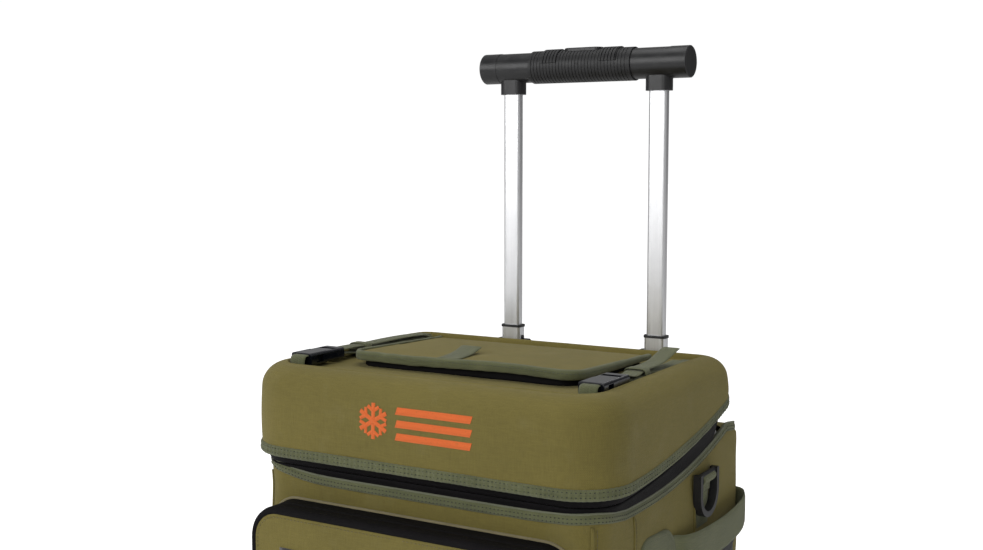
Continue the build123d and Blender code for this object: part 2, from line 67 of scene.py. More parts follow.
LID_LOW, LID_HIGH = cad("lid_shell")
BODY_LOW, BODY_HIGH = cad("body_shell")
HATCH_LOW, HATCH_HIGH = cad("hatch_panel")
LID_HALF, LID_FRONT, LID_BACK, CREST = LID_HIGH[0], LID_LOW[1], LID_HIGH[1], LID_HIGH[2]
BODY_HALF, BODY_FRONT, BODY_BACK, BODY_FLOOR = BODY_HIGH[0], BODY_LOW[1], BODY_HIGH[1], BODY_LOW[2]
SEAM = LID_LOW[2]            # level stretch of the lid's lower edge
DISH = CREST - 9             # sunk panel inside the lid's rim
FRONT_R = 35                 # front corners of the body
ROLL = 26                    # radius of the lid's upper edge
LID_FRONT_R, LID_BACK_R = 55, 40
BEND_Y, BEND_RADIUS = -160, 1100                         # the lid's lower edge sweeps up behind BEND_Y
MOUTH, MOUTH_BEND_Y, MOUTH_RADIUS = 363.5, -70, 810      # mouth of the body, under the zipper
HELD_LEFT, HELD_RIGHT, SLACK = 12, 3, 3.4                # lift at its front corners, sag between them
SIDES = ((1, "right"), (-1, "left"))


def clamp(value):
    return min(1, max(0, value))


def seam(y, drop=0.0):
    """Height of the lid's lower edge at y, or of the line drop below it."""
    if y <= BEND_Y:
        return SEAM - drop
    return SEAM + BEND_RADIUS - math.sqrt((BEND_RADIUS + drop) ** 2 - (y - BEND_Y) ** 2)


def mouth_line(x, y):
    """Height of the body's mouth. The stiff front corners hold it up and the cloth sags between."""
    swept = MOUTH
    if y > MOUTH_BEND_Y:
        swept += MOUTH_RADIUS - math.sqrt(MOUTH_RADIUS ** 2 - (y - MOUTH_BEND_Y) ** 2)
    away = math.hypot(abs(x) - BODY_HALF, y - BODY_FRONT - 8)
    held = (HELD_LEFT if x < 0 else HELD_RIGHT) * math.exp(-(away / 50) ** 2)
    slack = SLACK * clamp((y + 165) / 45)
    return swept + held + 2 * clamp((-120 - y) / 50) - slack


# ---- materials ----
def shader(name, rough, metal=0.0, **sockets):
    mat = bpy.data.materials.new(name)
    mat.use_nodes = True
    tree = mat.node_tree
    bsdf = tree.nodes["Principled BSDF"]
    bsdf.inputs["Roughness"].default_value = rough
    bsdf.inputs["Metallic"].default_value = metal
    for key, value in sockets.items():
        bsdf.inputs[key.replace("_", " ")].default_value = value
    return mat, tree, bsdf


def add(tree, kind, inputs=(), **props):
    made = tree.nodes.new("ShaderNode" + kind)
    for key, value in props.items():
        setattr(made, key, value)
    for key, value in dict(inputs).items():
        if isinstance(value, bpy.types.NodeSocket):
            tree.links.new(value, made.inputs[key])
        else:
            made.inputs[key].default_value = value
    return made


def maths(tree, operation, a, b=0.0, c=0.0):
    return add(tree, "Math", {0: a, 1: b, 2: c}, operation=operation).outputs[0]


def times(tree, a, b):
    return maths(tree, "MULTIPLY", a, b)


def span(tree, value, low, high, to_low=0.0, to_high=1.0):
    inputs = {"Value": value, "From Min": low, "From Max": high, "To Min": to_low, "To Max": to_high}
    return add(tree, "MapRange", inputs).outputs[0]


def mix(tree, factor, a, b):
    """Blend of two colours."""
    return add(tree, "Mix", {0: factor, 6: a, 7: b}, data_type="RGBA").outputs[2]


def tint(tree, bsdf, tone, dark, light):
    """Base colour from dark at tone 0 to light at tone 1."""
    tree.links.new(mix(tree, tone, rgba(*dark), rgba(*light)), bsdf.inputs["Base Color"])


def cloud(tree, vector, scale, detail=2.0, stretch=(1, 1, 1)):
    """Noise from 0 to 1, stretched along an axis where stretch is small."""
    if stretch != (1, 1, 1):
        vector = add(tree, "Mapping", {"Vector": vector, "Scale": stretch}).outputs[0]
    return add(tree, "TexNoise", {"Vector": vector, "Scale": scale, "Detail": detail}).outputs[0]


def wave(tree, value, pitch):
    """Sine of a length in metres, with the given pitch in millimetres."""
    return maths(tree, "SINE", times(tree, value, 2 * math.pi / (pitch * MM)))


def bump(tree, bsdf, height, depth, strength=1.0):
    """Relief whose full height is depth millimetres."""
    made = add(tree, "Bump", {"Height": height, "Distance": depth * MM, "Strength": strength})
    tree.links.new(made.outputs[0], bsdf.inputs["Normal"])


def rgba(r, g, b):
    return (r, g, b, 1.0)


def woven(name, light, dark, print_colour=None):
    """Plain-woven polyester: a weave in each of three planes, slubs, mottling and dusty wear."""
    mat, tree, bsdf = shader(name, 0.78, Sheen_Weight=0.14, Sheen_Roughness=0.5,
                             Sheen_Tint=rgba(1.0, 0.92, 0.62), Specular_IOR_Level=0.28)
    coord = add(tree, "TexCoord")
    place = coord.outputs["Object"]
    x, y, z = add(tree, "SeparateXYZ", {0: place}).outputs[:]
    facing = add(tree, "SeparateXYZ", {0: coord.outputs["Normal"]}).outputs[:]
    side = span(tree, maths(tree, "ABSOLUTE", facing[0]), 0.62, 0.78)
    top = span(tree, maths(tree, "ABSOLUTE", facing[2]), 0.62, 0.78)
    pitch = 1.5
    wx, wy, wz = (wave(tree, axis, pitch) for axis in (x, y, z))
    front_weave, side_weave, top_weave = (times(tree, a, b) for a, b in ((wx, wz), (wy, wz), (wx, wy)))
    height = add(tree, "Mix", {0: side, 2: front_weave, 3: side_weave}).outputs[0]
    height = add(tree, "Mix", {0: top, 2: height, 3: top_weave}).outputs[0]
    level = cloud(tree, place, 90, 3, (1, 1, 12))
    upright = cloud(tree, place, 90, 3, (12, 12, 1))
    slub = maths(tree, "ADD", level, upright)
    mottle = cloud(tree, place, 9, 3)
    grain = maths(tree, "MULTIPLY_ADD", height, 0.3, maths(tree, "MULTIPLY_ADD", slub, 0.5, 0.0))
    tone = maths(tree, "ADD", grain, span(tree, mottle, 0.3, 0.7, -0.1, 0.1))
    colour = mix(tree, tone, rgba(*dark), rgba(*light))
    dust = span(tree, cloud(tree, place, 26, 4), 0.58, 0.8, 0.0, 0.10)
    colour = mix(tree, dust, colour, rgba(0.36, 0.33, 0.2))
    if print_colour:
        worn = span(tree, cloud(tree, place, 420, 2), 0.62, 0.8, 0.0, 0.35)
        colour = mix(tree, worn, rgba(*print_colour), colour)
    tree.links.new(colour, bsdf.inputs["Base Color"])
    relief = maths(tree, "ADD", height, times(tree, slub, 1.6))
    bump(tree, bsdf, relief, 0.16, 0.8)
    return mat


def ribbed(name, light, dark, rib=2.2, depth=0.28, sheen=0.2, rough=0.8, gloss=0.3):
    """Webbing or tape: ribs across its length, fine warp lines and mottled colour, from its UVs."""
    mat, tree, bsdf = shader(name, rough, Sheen_Weight=sheen, Specular_IOR_Level=gloss)
    place = add(tree, "UVMap", uv_map="weave").outputs[0]
    along, across, _ = add(tree, "SeparateXYZ", {0: place}).outputs[:]
    rows = times(tree, wave(tree, along, rib), wave(tree, across, rib * 0.55))
    warp = wave(tree, across, rib * 0.45)
    height = maths(tree, "MULTIPLY_ADD", warp, 0.35, rows)
    streak = cloud(tree, place, 60, 3, (1, 12, 1))
    mottle = cloud(tree, place, 24, 3)
    tone = maths(tree, "MULTIPLY_ADD", height, 0.16, maths(tree, "MULTIPLY_ADD", streak, 0.8, -0.05))
    tone = maths(tree, "ADD", tone, span(tree, mottle, 0.3, 0.7, -0.15, 0.15))
    tint(tree, bsdf, tone, dark, light)
    bump(tree, bsdf, height, depth, 0.8)
    return mat


def moulded(name, light, dark, rough=0.5, grain=900, depth=0.06, rough_span=0.12, metal=0.0, **more):
    """Moulded, cast or drawn stock: fine grain, uneven gloss, scuffs and a slight colour change."""
    mat, tree, bsdf = shader(name, rough, metal, **more)
    place = add(tree, "TexCoord").outputs["Object"]
    patches = cloud(tree, place, 40, 4)
    scuff = span(tree, cloud(tree, place, 160, 5), 0.6, 0.75)
    tone = maths(tree, "MULTIPLY_ADD", scuff, 0.35, span(tree, patches, 0.3, 0.7, 0.0, 0.6))
    tint(tree, bsdf, tone, dark, light)
    rough_map = span(tree, maths(tree, "ADD", patches, times(tree, scuff, 0.5)), 0.3, 1.1,
                     rough - rough_span, rough + rough_span)
    tree.links.new(rough_map, bsdf.inputs["Roughness"])
    bump(tree, bsdf, cloud(tree, place, grain, 2), depth, 0.6)
    return mat


def brushed(name):
    """Satin anodised aluminium, drawn along its length."""
    mat, tree, bsdf = shader(name, 0.34, 1.0)
    place = add(tree, "TexCoord").outputs["Object"]
    lines = cloud(tree, place, 1.0, 3, (1400, 1400, 9))
    smear = cloud(tree, place, 30, 3)
    tone = maths(tree, "MULTIPLY_ADD", lines, 0.7, times(tree, smear, 0.4))
    tint(tree, bsdf, tone, (0.72, 0.73, 0.75), (0.93, 0.93, 0.94))
    tree.links.new(span(tree, lines, 0.2, 0.8, 0.26, 0.42), bsdf.inputs["Roughness"])
    bump(tree, bsdf, lines, 0.02, 0.5)
    return mat


def netting(name):
    """Knitted mesh: diamond openings pressed into a dark cloth, and painted darker than its threads as
    painted shade seen through them.
    """
    mat, tree, bsdf = shader(name, 0.72, Sheen_Weight=0.15)
    place = add(tree, "UVMap", uv_map="weave").outputs[0]
    along, across, _ = add(tree, "SeparateXYZ", {0: place}).outputs[:]
    one = wave(tree, maths(tree, "ADD", along, across), 3.4)
    two = wave(tree, maths(tree, "SUBTRACT", along, across), 3.4)
    holes = span(tree, times(tree, one, two), -0.2, 0.5)
    blotch = cloud(tree, place, 40, 3)
    tone = times(tree, holes, span(tree, blotch, 0.3, 0.7, 0.75, 1.0))
    # painted shade: the openings take the darkest colour, standing in for the shade behind the mesh
    tint(tree, bsdf, tone, (0.035, 0.036, 0.036), (0.006, 0.006, 0.006))
    bump(tree, bsdf, maths(tree, "SUBTRACT", 1.0, holes), 0.5, 0.9)
    return mat


def napped(name):
    """Loop fabric: short fuzzy pile with combed patches."""
    mat, tree, bsdf = shader(name, 0.95, Sheen_Weight=0.45, Sheen_Roughness=0.6, Specular_IOR_Level=0.1)
    place = add(tree, "TexCoord").outputs["Object"]
    pile = add(tree, "TexVoronoi", {"Vector": place, "Scale": 700}).outputs["Distance"]
    comb = cloud(tree, place, 35, 3, (1, 1, 3))
    tone = maths(tree, "MULTIPLY_ADD", pile, 0.5, times(tree, comb, 0.6))
    tint(tree, bsdf, tone, (0.009, 0.008, 0.009), (0.032, 0.027, 0.03))
    bump(tree, bsdf, maths(tree, "MULTIPLY_ADD", comb, 0.6, pile), 0.5, 0.9)
    return mat


OLIVE_LIGHT, OLIVE_DARK = (0.232, 0.190, 0.046), (0.112, 0.093, 0.022)
GREEN_LIGHT, GREEN_DARK = (0.215, 0.225, 0.105), (0.085, 0.095, 0.043)
ORANGE = (0.78, 0.155, 0.035)
skin = woven("olive_weave", OLIVE_LIGHT, OLIVE_DARK)
printed = woven("orange_print", OLIVE_LIGHT, OLIVE_DARK, ORANGE)
webbing = ribbed("green_web", GREEN_LIGHT, GREEN_DARK)
khaki = ribbed("khaki_piping", (0.36, 0.31, 0.18), (0.2, 0.17, 0.085), 1.6, 0.15)
tape = ribbed("black_tape", (0.010, 0.008, 0.010), (0.003, 0.003, 0.003), 1.4, 0.1, 0.0, 0.7, 0.12)
elastic = ribbed("black_elastic", (0.03, 0.03, 0.032), (0.008, 0.008, 0.009), 1.8, 0.3)
thread = ribbed("green_thread", (0.13, 0.15, 0.085), (0.055, 0.066, 0.04), 0.9, 0.1)
dark_thread = ribbed("dark_thread", (0.045, 0.052, 0.03), (0.016, 0.019, 0.012), 0.9, 0.1)
pale_webbing = ribbed("pale_webbing", (0.24, 0.25, 0.165), (0.12, 0.13, 0.08), 1.4, 0.15)
olive_thread = ribbed("olive_thread", (0.21, 0.175, 0.065), (0.11, 0.09, 0.035), 0.9, 0.1)
black_thread = ribbed("black_thread", (0.035, 0.033, 0.035), (0.012, 0.012, 0.013), 0.9, 0.1)
mesh_cloth = netting("black_mesh")
loop_cloth = napped("black_loop")
foam = moulded("white_foam", (0.78, 0.78, 0.75), (0.66, 0.66, 0.63), 0.9, 500, 0.3)
film = moulded("liner_film", (0.66, 0.68, 0.70), (0.56, 0.58, 0.61), 0.42, 120, 0.5, 0.1)
RING = moulded("ring_black", (0.016, 0.016, 0.017), (0.006, 0.006, 0.007), 0.6, 900, 0.05)
FINISHES = {
    "black_plastic": moulded("tray_black", (0.034, 0.034, 0.035), (0.014, 0.014, 0.015), 0.6, 700, 0.18),
    "handle_plastic": moulded("handle_black", (0.020, 0.020, 0.021), (0.008, 0.008, 0.009), 0.4, 1100, 0.04),
    "hub_plastic": moulded("hub_black", (0.045, 0.045, 0.048), (0.020, 0.020, 0.022), 0.45, 500, 0.08),
    "buckle_plastic": moulded("buckle_black", (0.010, 0.011, 0.017), (0.004, 0.005, 0.008), 0.2, 800, 0.02),
    "nylon": moulded("glide_nylon", (0.8, 0.8, 0.77), (0.68, 0.68, 0.65), 0.5, 600, 0.05),
    "grip_rubber": moulded("grip_black", (0.016, 0.016, 0.017), (0.006, 0.006, 0.007), 0.55, 1500, 0.08),
    "tyre_rubber": moulded("tyre_black", (0.038, 0.037, 0.036), (0.014, 0.014, 0.014), 0.75, 600, 0.2),
    "steel": moulded("pin_steel", (0.62, 0.62, 0.63), (0.45, 0.45, 0.46), 0.32, 900, 0.03, metal=1.0),
    "zinc": moulded("slider_black", (0.05, 0.05, 0.055), (0.018, 0.018, 0.02), 0.35, 900, 0.05),
    "leg_aluminium": brushed("leg_silver"),
    "liner": film,
}


# ---- mesh helpers ----
def grid(rows, around=False, over=False):
    """Quads through rows of points, and UVs in metres that run along the rows and across them."""
    rows = np.asarray(rows, float)
    v_count, u_count = rows.shape[:2]
    u_next = np.roll(rows, -1, axis=1) if around else rows[:, 1:]
    v_next = np.roll(rows, -1, axis=0) if over else rows[1:]
    u_step = np.linalg.norm(u_next - rows[:, : u_next.shape[1]], axis=2).mean(axis=0)
    v_step = np.linalg.norm(v_next - rows[: v_next.shape[0]], axis=2).mean(axis=1)
    u_at = np.concatenate([[0], np.cumsum(u_step)]) * MM
    v_at = np.concatenate([[0], np.cumsum(v_step)]) * MM
    faces, uvs = [], []
    for v in range(len(v_step)):
        for u in range(len(u_step)):
            v2, u2 = (v + 1) % v_count, (u + 1) % u_count
            faces.append((v * u_count + u, v * u_count + u2, v2 * u_count + u2, v2 * u_count + u))
            u0, u1, v0, v1 = u_at[u], u_at[u + 1], v_at[v], v_at[v + 1]
            uvs += [(u0, v0), (u1, v0), (u1, v1), (u0, v1)]
    return rows.reshape(-1, 3), faces, uvs


def capped(verts, faces, uvs, *loops):
    """The same mesh with flat ends closed."""
    for loop in loops:
        faces = faces + [tuple(loop)]
        uvs = uvs + [(verts[i][0] * MM, verts[i][2] * MM) for i in loop]
    return verts, faces, uvs


def tube(rows):
    """Mesh through lines that run side by side round a section, with flat ends."""
    m, n = len(rows), len(rows[0])
    starts = [k * n for k in range(m)]
    return capped(*grid(rows, over=True), starts, [k + n - 1 for k in reversed(starts)])


def domed(rings, both=False):
    """Mesh through rings whose last one is closed by a flat face, and the first one too for both."""
    size = len(rings[0])
    last = (len(rings) - 1) * size
    first = [list(reversed(range(size)))] if both else []
    return capped(*grid(rings, around=True), *first, list(range(last, last + size)))


def joined(*meshes):
    verts, faces, uvs = [], [], []
    for part in meshes:
        shift = len(verts)
        verts += [tuple(p) for p in part[0]]
        faces += [tuple(i + shift for i in face) for face in part[1]]
        uvs += part[2]
    return verts, faces, uvs


def put(name, data):
    """New object in the scene."""
    obj = bpy.data.objects.new(name, data)
    bpy.context.scene.collection.objects.link(obj)
    return obj


def piece(name, data, material, body, *replaced, wall=0.0):
    """Mesh object from data in millimetres, riding on a CAD body and standing for CAD nodes."""
    verts, faces, uvs = data
    mesh = bpy.data.meshes.new(name)
    mesh.from_pydata([tuple(float(c) * MM for c in p) for p in verts], [], faces)
    mesh.materials.append(material)
    mesh.uv_layers.new(name="weave").data.foreach_set("uv", [c for uv in uvs for c in uv])
    mesh.polygons.foreach_set("use_smooth", [True] * len(mesh.polygons))
    obj = put(name, mesh)
    if wall:
        solid = obj.modifiers.new("wall", "SOLIDIFY")
        solid.thickness, solid.offset = wall * MM, -1
    if body:
        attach(obj, body)
    if replaced:
        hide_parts(*replaced)
    return obj


def outline(half, front, back, r_front, r_back, counts=(12, 26, 30)):
    """Rounded rectangle seen from above, counter-clockwise from the middle of the back.
    Rows of x, y and the outward normal; the same counts give matching points."""
    corner, side, face = counts
    out = []

    def run(x0, y0, x1, y1, nx, ny, count):
        for i in range(count):
            t = i / count
            out.append((x0 + (x1 - x0) * t, y0 + (y1 - y0) * t, nx, ny))

    def turn(cx, cy, r, start):
        for i in range(corner):
            a = math.radians(start + 90 * i / corner)
            out.append((cx + r * math.cos(a), cy + r * math.sin(a), math.cos(a), math.sin(a)))

    run(0, back, r_back - half, back, 0, 1, face // 2)
    turn(r_back - half, back - r_back, r_back, 90)
    run(-half, back - r_back, -half, front + r_front, -1, 0, side)
    turn(r_front - half, front + r_front, r_front, 180)
    run(r_front - half, front, half - r_front, front, 0, -1, face)
    turn(half - r_front, front + r_front, r_front, 270)
    run(half, front + r_front, half, back - r_back, 1, 0, side)
    turn(half - r_back, back - r_back, r_back, 0)
    run(half - r_back, back, 0, back, 0, 1, face // 2)
    return np.array(out)


def lid_ring(inset):
    """The lid's outline, inset all round."""
    return outline(LID_HALF - inset, LID_FRONT + inset, LID_BACK - inset,
                   max(LID_FRONT_R - inset, 8), max(LID_BACK_R - inset, 6))


def open_path(half, front, radius, y_end, step=4.0):
    """U-shaped path: from the left side at y_end round the front to the right side."""
    whole = outline(half, front, y_end + radius, radius, radius, (16, 40, 60))
    inside = [p for p in whole if p[1] <= y_end + 1e-6 and not (abs(p[0]) < half - 1 and p[1] > 0)]
    return resample(np.array(inside), step)


def resample(path, step, closed=False):
    """Even steps along a path; extra columns such as normals are carried along."""
    path = np.asarray(path, float)
    if closed:
        path = np.vstack([path, path[:1]])
    dims = 3 if path.shape[1] in (3, 6) else 2
    length = np.concatenate([[0], np.cumsum(np.linalg.norm(np.diff(path[:, :dims], axis=0), axis=1))])
    count = max(2, int(round(length[-1] / step)) + 1)
    at = np.linspace(0, length[-1], count)
    even = np.stack([np.interp(at, length, path[:, c]) for c in range(path.shape[1])], axis=1)
    return even[:-1] if closed else even


def spline(points, step=2.0):
    """Smooth curve through points (Catmull-Rom)."""
    pts = np.asarray(points, float)
    pts = np.vstack([2 * pts[0] - pts[1], pts, 2 * pts[-1] - pts[-2]])
    out = []
    for i in range(1, len(pts) - 2):
        p0, p1, p2, p3 = pts[i - 1:i + 3]
        for t in np.linspace(0, 1, 12, endpoint=False):
            out.append(0.5 * (2 * p1 + (p2 - p0) * t + (2 * p0 - 5 * p1 + 4 * p2 - p3) * t * t
                              + (3 * p1 - p0 - 3 * p2 + p3) * t ** 3))
    out.append(pts[-2])
    return resample(np.array(out), step)


def unit(v):
    return v / np.maximum(np.linalg.norm(v, axis=-1, keepdims=True), 1e-9)


def soft_section(width, thick, crown=0.0, count=9):
    """Closed section of a webbing strip: across, through."""
    def face(xs, sign):
        return [(width * x, sign * thick / 2 * min(1.0, 3.0 * math.sqrt(max(0.0, 0.5 - abs(x)) + 0.004))
                 + crown * (0.25 - x * x)) for x in xs]

    xs = np.linspace(-0.5, 0.5, count)
    return face(xs, 1) + face(xs[::-1], -1)


def ribbon(path, across, width, thick, crown=0.0):
    """A flat strip of webbing along a path; across points over its width."""
    path = np.asarray(path, float)
    across = np.broadcast_to(np.asarray(across, float), path.shape)
    tangent = unit(np.gradient(path, axis=0))
    through = unit(np.cross(across, tangent))
    section = soft_section(width, thick, crown)
    rows = [path + across * a + through * b for a, b in section]
    return tube(rows)


def round_bar(path, radius, closed=False, sides=8):
    """A bead or cord of round section; radius may vary along the path."""
    path = np.asarray(path, float)
    nxt, prv = (np.roll(path, -1, 0), np.roll(path, 1, 0)) if closed else (None, None)
    tangent = unit(nxt - prv) if closed else unit(np.gradient(path, axis=0))
    guide = np.where(np.abs(tangent[:, 2:3]) > 0.9, [[1.0, 0, 0]], [[0, 0, 1.0]])
    one = unit(np.cross(tangent, guide))
    two = np.cross(tangent, one)
    radius = np.broadcast_to(np.asarray(radius, float), (len(path),))[:, None]
    rows = []
    for k in range(sides):
        a = 2 * math.pi * k / sides
        rows.append(path + radius * (one * math.cos(a) + two * math.sin(a)))
    return grid(rows[::-1], around=True, over=True) if closed else tube(rows[::-1])


def stitching(path, out, pitch=4.6, length=3.3, radius=0.42, sink=0.15):
    """A row of thread stitches along a path on a surface whose outward directions are out."""
    path, out = np.asarray(path, float), np.asarray(out, float)
    both = resample(np.hstack([path, np.broadcast_to(out, path.shape)]), pitch)
    pts, normals = both[:, :3], unit(both[:, 3:])
    tangent = unit(np.gradient(pts, axis=0))
    parts = []
    for p, t, n in zip(pts[1:-1], tangent[1:-1], normals[1:-1]):
        s = np.cross(n, t)
        rows = []
        for along, fat, rise in ((-0.5, 0.35, -1.2), (-0.3, 1.0, 0.25), (0.3, 1.0, 0.25), (0.5, 0.35, -1.2)):
            centre = p + t * along * length + n * (rise * radius - sink)
            rows.append([centre + radius * fat * (s * math.cos(a) + n * math.sin(a))
                         for a in (0, math.pi / 2, math.pi, 3 * math.pi / 2)])
        verts, faces, uvs = grid(rows, around=True)
        parts.append(capped(verts, faces, uvs, (3, 2, 1, 0), (12, 13, 14, 15)))
    return joined(*parts)


def line_on(path, out, up, level):
    """A line beside an outline, up from level(x, y), and its outward directions."""
    pts = [(x + nx * out, y + ny * out, level(x, y) + up) for x, y, nx, ny in path]
    return pts, [(nx, ny, 0) for _, _, nx, ny in path]


def band(path, section, level, around=False):
    """A strip round an outline: section holds (outward, up) pairs from the line level(x, y)."""
    return grid([line_on(path, out, up, level)[0] for out, up in section], around=around, over=True)


def ripple(p, scale, size, seed=0.0):
    """Smooth random offset at a point."""
    return size * noise.noise(Vector((p[0] * scale + seed, p[1] * scale, p[2] * scale)))


# ---- lid ----
roll_low = CREST - ROLL


def lid_bulge(z, low):
    """How far the lid's side swells outward at height z."""
    return 1.3 * math.sin(math.pi * clamp((z - low) / (roll_low - low)))


def back_dip(y):
    """The rim sinks slightly along the back, where the hatch's hinge pulls it."""
    return 2.4 * clamp((y - 40) / 90) ** 1.5


lid_rows = []
for t in np.linspace(0, 1, 12):
    ring = []
    for x, y, nx, ny in lid_ring(0):
        low = seam(y) + 0.2
        z = low + (roll_low - low) * t
        out = lid_bulge(z, low)
        p = (x + nx * out, y + ny * out, z)
        ring.append((p[0] + nx * ripple(p, 0.012, 0.7), p[1] + ny * ripple(p, 0.012, 0.7), z))
    lid_rows.append(ring)
for a in np.linspace(8, 90, 10):
    inset = ROLL * (1 - math.cos(math.radians(a)))
    rise = math.sin(math.radians(a))
    z = roll_low + ROLL * rise
    lid_rows.append([(x, y, z - back_dip(y) * rise + ripple((x, y, z), 0.012, 0.4))
                     for x, y, _, _ in lid_ring(inset)])
for inset, z in ((26.6, 0.5), (27.4, 0.5), (28.3, -0.6), (29.4, -3.0), (30.0, -5.6), (31.0, -7.8),
                 (32.8, -8.8), (36, -9.0)):
    lid_rows.append([(x, y, CREST + z - (back_dip(y) if z > -8 else 0)) for x, y, _, _ in lid_ring(inset)])
dish_ring = lid_ring(36)
WALL_HALF, WALL_FRONT, WALL_BACK = 136, -93, 80        # zipper wall round the hatch's opening
wall_ring = outline(WALL_HALF, WALL_FRONT, WALL_BACK, 30, 22)
for t in (0.34, 0.67, 1.0):
    flat = dish_ring * (1 - t) + wall_ring * t
    lid_rows.append([(x, y, DISH + ripple((x, y, 0), 0.02, 0.5)) for x, y, _, _ in flat])
hole_ring = outline(128, -84, 72, 24, 20)
HOLE_FLOOR = CREST - 42.6
for z in (DISH, DISH - 3, HOLE_FLOOR):
    lid_rows.append([(x, y, z) for x, y, _, _ in hole_ring])
piece("lid_skin", grid(lid_rows, around=True), skin, "lid", "lid_shell", wall=1.6)


def lid_line(x, y):
    return seam(y)


PIT = dict(pitch=4.4, length=2.0, radius=0.55, sink=0.25)     # stitches pulled into the webbing
fine_lid = resample(lid_ring(0), 1.6, closed=True)
edge_rows = [(0.1, 10.6), (1.5, 10.2), (2.2, 8.6), (2.1, 7.0), (1.6, 5.6), (2.3, 4.2), (2.3, 2.2), (1.7, 0.2),
             (0.4, -0.9), (-2.4, -0.6), (-2.4, 1.6), (-1.0, 9.0)]
lid_edge = band(fine_lid, edge_rows[::-1], lid_line, around=True)
for index, p in enumerate(lid_edge[0]):
    x, y, nx, ny = fine_lid[index % len(fine_lid)]
    swell = 0.35 * math.sin(index % len(fine_lid) * 2 * math.pi * 1.6 / 6.4) + ripple(p, 0.05, 0.5)
    p[0] += nx * swell
    p[1] += ny * swell
piece("lid_edge_webbing", lid_edge, webbing, "lid", "lid_binding")
for row, (out, up) in enumerate(((2.5, 3.2), (2.3, 7.9))):
    stitches = stitching(*line_on(fine_lid, out, up, lid_line), **PIT)
    piece(f"lid_edge_stitches_{row + 1}", stitches, dark_thread, "lid")

# ---- zipper between lid and body ----
mouth = outline(BODY_HALF, BODY_FRONT, LID_BACK - 15, FRONT_R, 25)


def zip_rows(steps):
    """Rows of a zipper half: inset from the lid, drop, and how far it has gone to the body's mouth."""
    rows = []
    for inset, drop, lean in steps:
        ring = lid_ring(inset) * (1 - lean) + mouth * lean
        rows.append([(x, y, seam(y, drop) * (1 - lean) + (mouth_line(x, y) - 1.6) * lean)
                     for x, y, _, _ in ring])
    return rows


upper_half = zip_rows([(11, 7.4, 0), (10.4, 9.2, 0), (9.2, 9.4, 0), (8.2, 9.0, 0), (7.4, 7.2, 0),
                       (5.6, 4.0, 0), (3.6, 1.2, 0), (2.6, -1.0, 0)])
lower_half = zip_rows([(9, 12, 1.0), (9, 12, 0.75), (9, 12, 0.5), (9, 12, 0.25), (8.6, 12, 0.08),
                       (8.2, 10.6, 0), (9.2, 9.8, 0), (10.4, 10.0, 0), (11, 11.6, 0)])
piece("zipper_upper_half", grid(upper_half, around=True), tape, "lid", "upper_zipper_tape", wall=0.8)
piece("zipper_lower_half", grid(lower_half, around=True), tape, "cooler", "lower_zipper_tape", wall=0.8)

# ---- body ----
REAR_Y = 150                      # where the mouth ends and the raised back begins
WELL_Y, WELL_X, WELL_Z = 111.2, 152, 112


def shoulder(y):
    """Top of the body's raised back, from the mouth to the rear face."""
    return float(np.interp(y, (150, 192, 208, 216), (394.5, 389, 379, 369)))


def body_top(x, y):
    return mouth_line(x, y) if y <= REAR_Y else shoulder(y) - 7


def body_point(x, y, nx, ny, z):
    """Cloth that swells between its seams and pulls in under the mouth."""
    top = body_top(x, y)
    free = clamp((top - z) / 40) * clamp((z - BODY_FLOOR) / 30)
    out = free * (1.0 + ripple((x, y, z), 0.010, 3.0) + ripple((x, y, z), 0.03, 0.8, 7.0))
    pull = 0.8 * math.exp(-((top - z) / 30) ** 2) * math.sin(0.09 * (x + y) + 0.11 * z)
    return x + nx * (out + pull), y + ny * (out + pull), z


def body_rows(path, low, high, count):
    rows = []
    for t in np.linspace(0, 1, count):
        rows.append([body_point(x, y, nx, ny, low + (high(x, y) - low) * t) for x, y, nx, ny in path])
    return rows


body_ring = outline(BODY_HALF, BODY_FRONT, BODY_BACK, FRONT_R, 25, (12, 60, 60))
body_low = open_path(BODY_HALF, BODY_FRONT, FRONT_R, WELL_Y, 6)
back_low = np.array([(x, BODY_BACK, 0, 1) for x in np.linspace(WELL_X, -WELL_X, 40)])
walls = joined(grid(body_rows(body_ring, WELL_Z, body_top, 40), around=True),
               grid(body_rows(body_low, BODY_FLOOR, lambda x, y: WELL_Z, 8)),
               grid(body_rows(back_low, BODY_FLOOR, lambda x, y: WELL_Z, 8)))


def hump(x, y):
    """Height of the sleeve round the legs, over the back of the body."""
    front = 428 + (y - 166) * 1.3 if y >= 166 else 428 - (166 - y) * 12
    side = 456 - (abs(x) - 136) * 76 / 36
    return min(front, side, 455)


def soft_max(a, b, r):
    h = max(r - abs(a - b), 0) / r
    return max(a, b) + h * h * r / 4


def back_roof():
    """The raised back as columns from the mouth to the rear edge, with a rolled border."""
    columns = []
    xs = [np.linspace(-BODY_HALF, -178, 9), np.linspace(-175, 175, 118), np.linspace(178, BODY_HALF, 9)]
    for x in np.concatenate(xs):
        over = max(0.0, abs(x) - (BODY_HALF - 25))
        end = BODY_BACK - 25 + math.sqrt(max(0.0, 625 - over * over))
        column = []
        for t in np.linspace(0, 1, 34):
            y = REAR_Y + (end - REAR_Y) * t
            z = soft_max(shoulder(y), hump(x, y), 6)
            border = min(BODY_HALF - abs(x), end - y)
            if z < shoulder(y) + 6:
                z -= 7 - math.sqrt(max(0.0, 49 - max(0.0, 7 - border) ** 2))
            else:
                z -= 6 - math.sqrt(max(0.0, 36 - max(0.0, 6 - (end - y)) ** 2))
            column.append((x, y, z + ripple((x, y, z), 0.02, 1.2)))
        last = column[-1]
        for t in (0.33, 0.66, 1.0):
            column.append((x, last[1], last[2] + (body_top(x, last[1]) - last[2]) * t))
        columns.append(column)
    return grid(np.transpose(np.array(columns), (1, 0, 2)))


piece("body_skin", joined(walls, back_roof()), skin, "cooler", "body_shell")

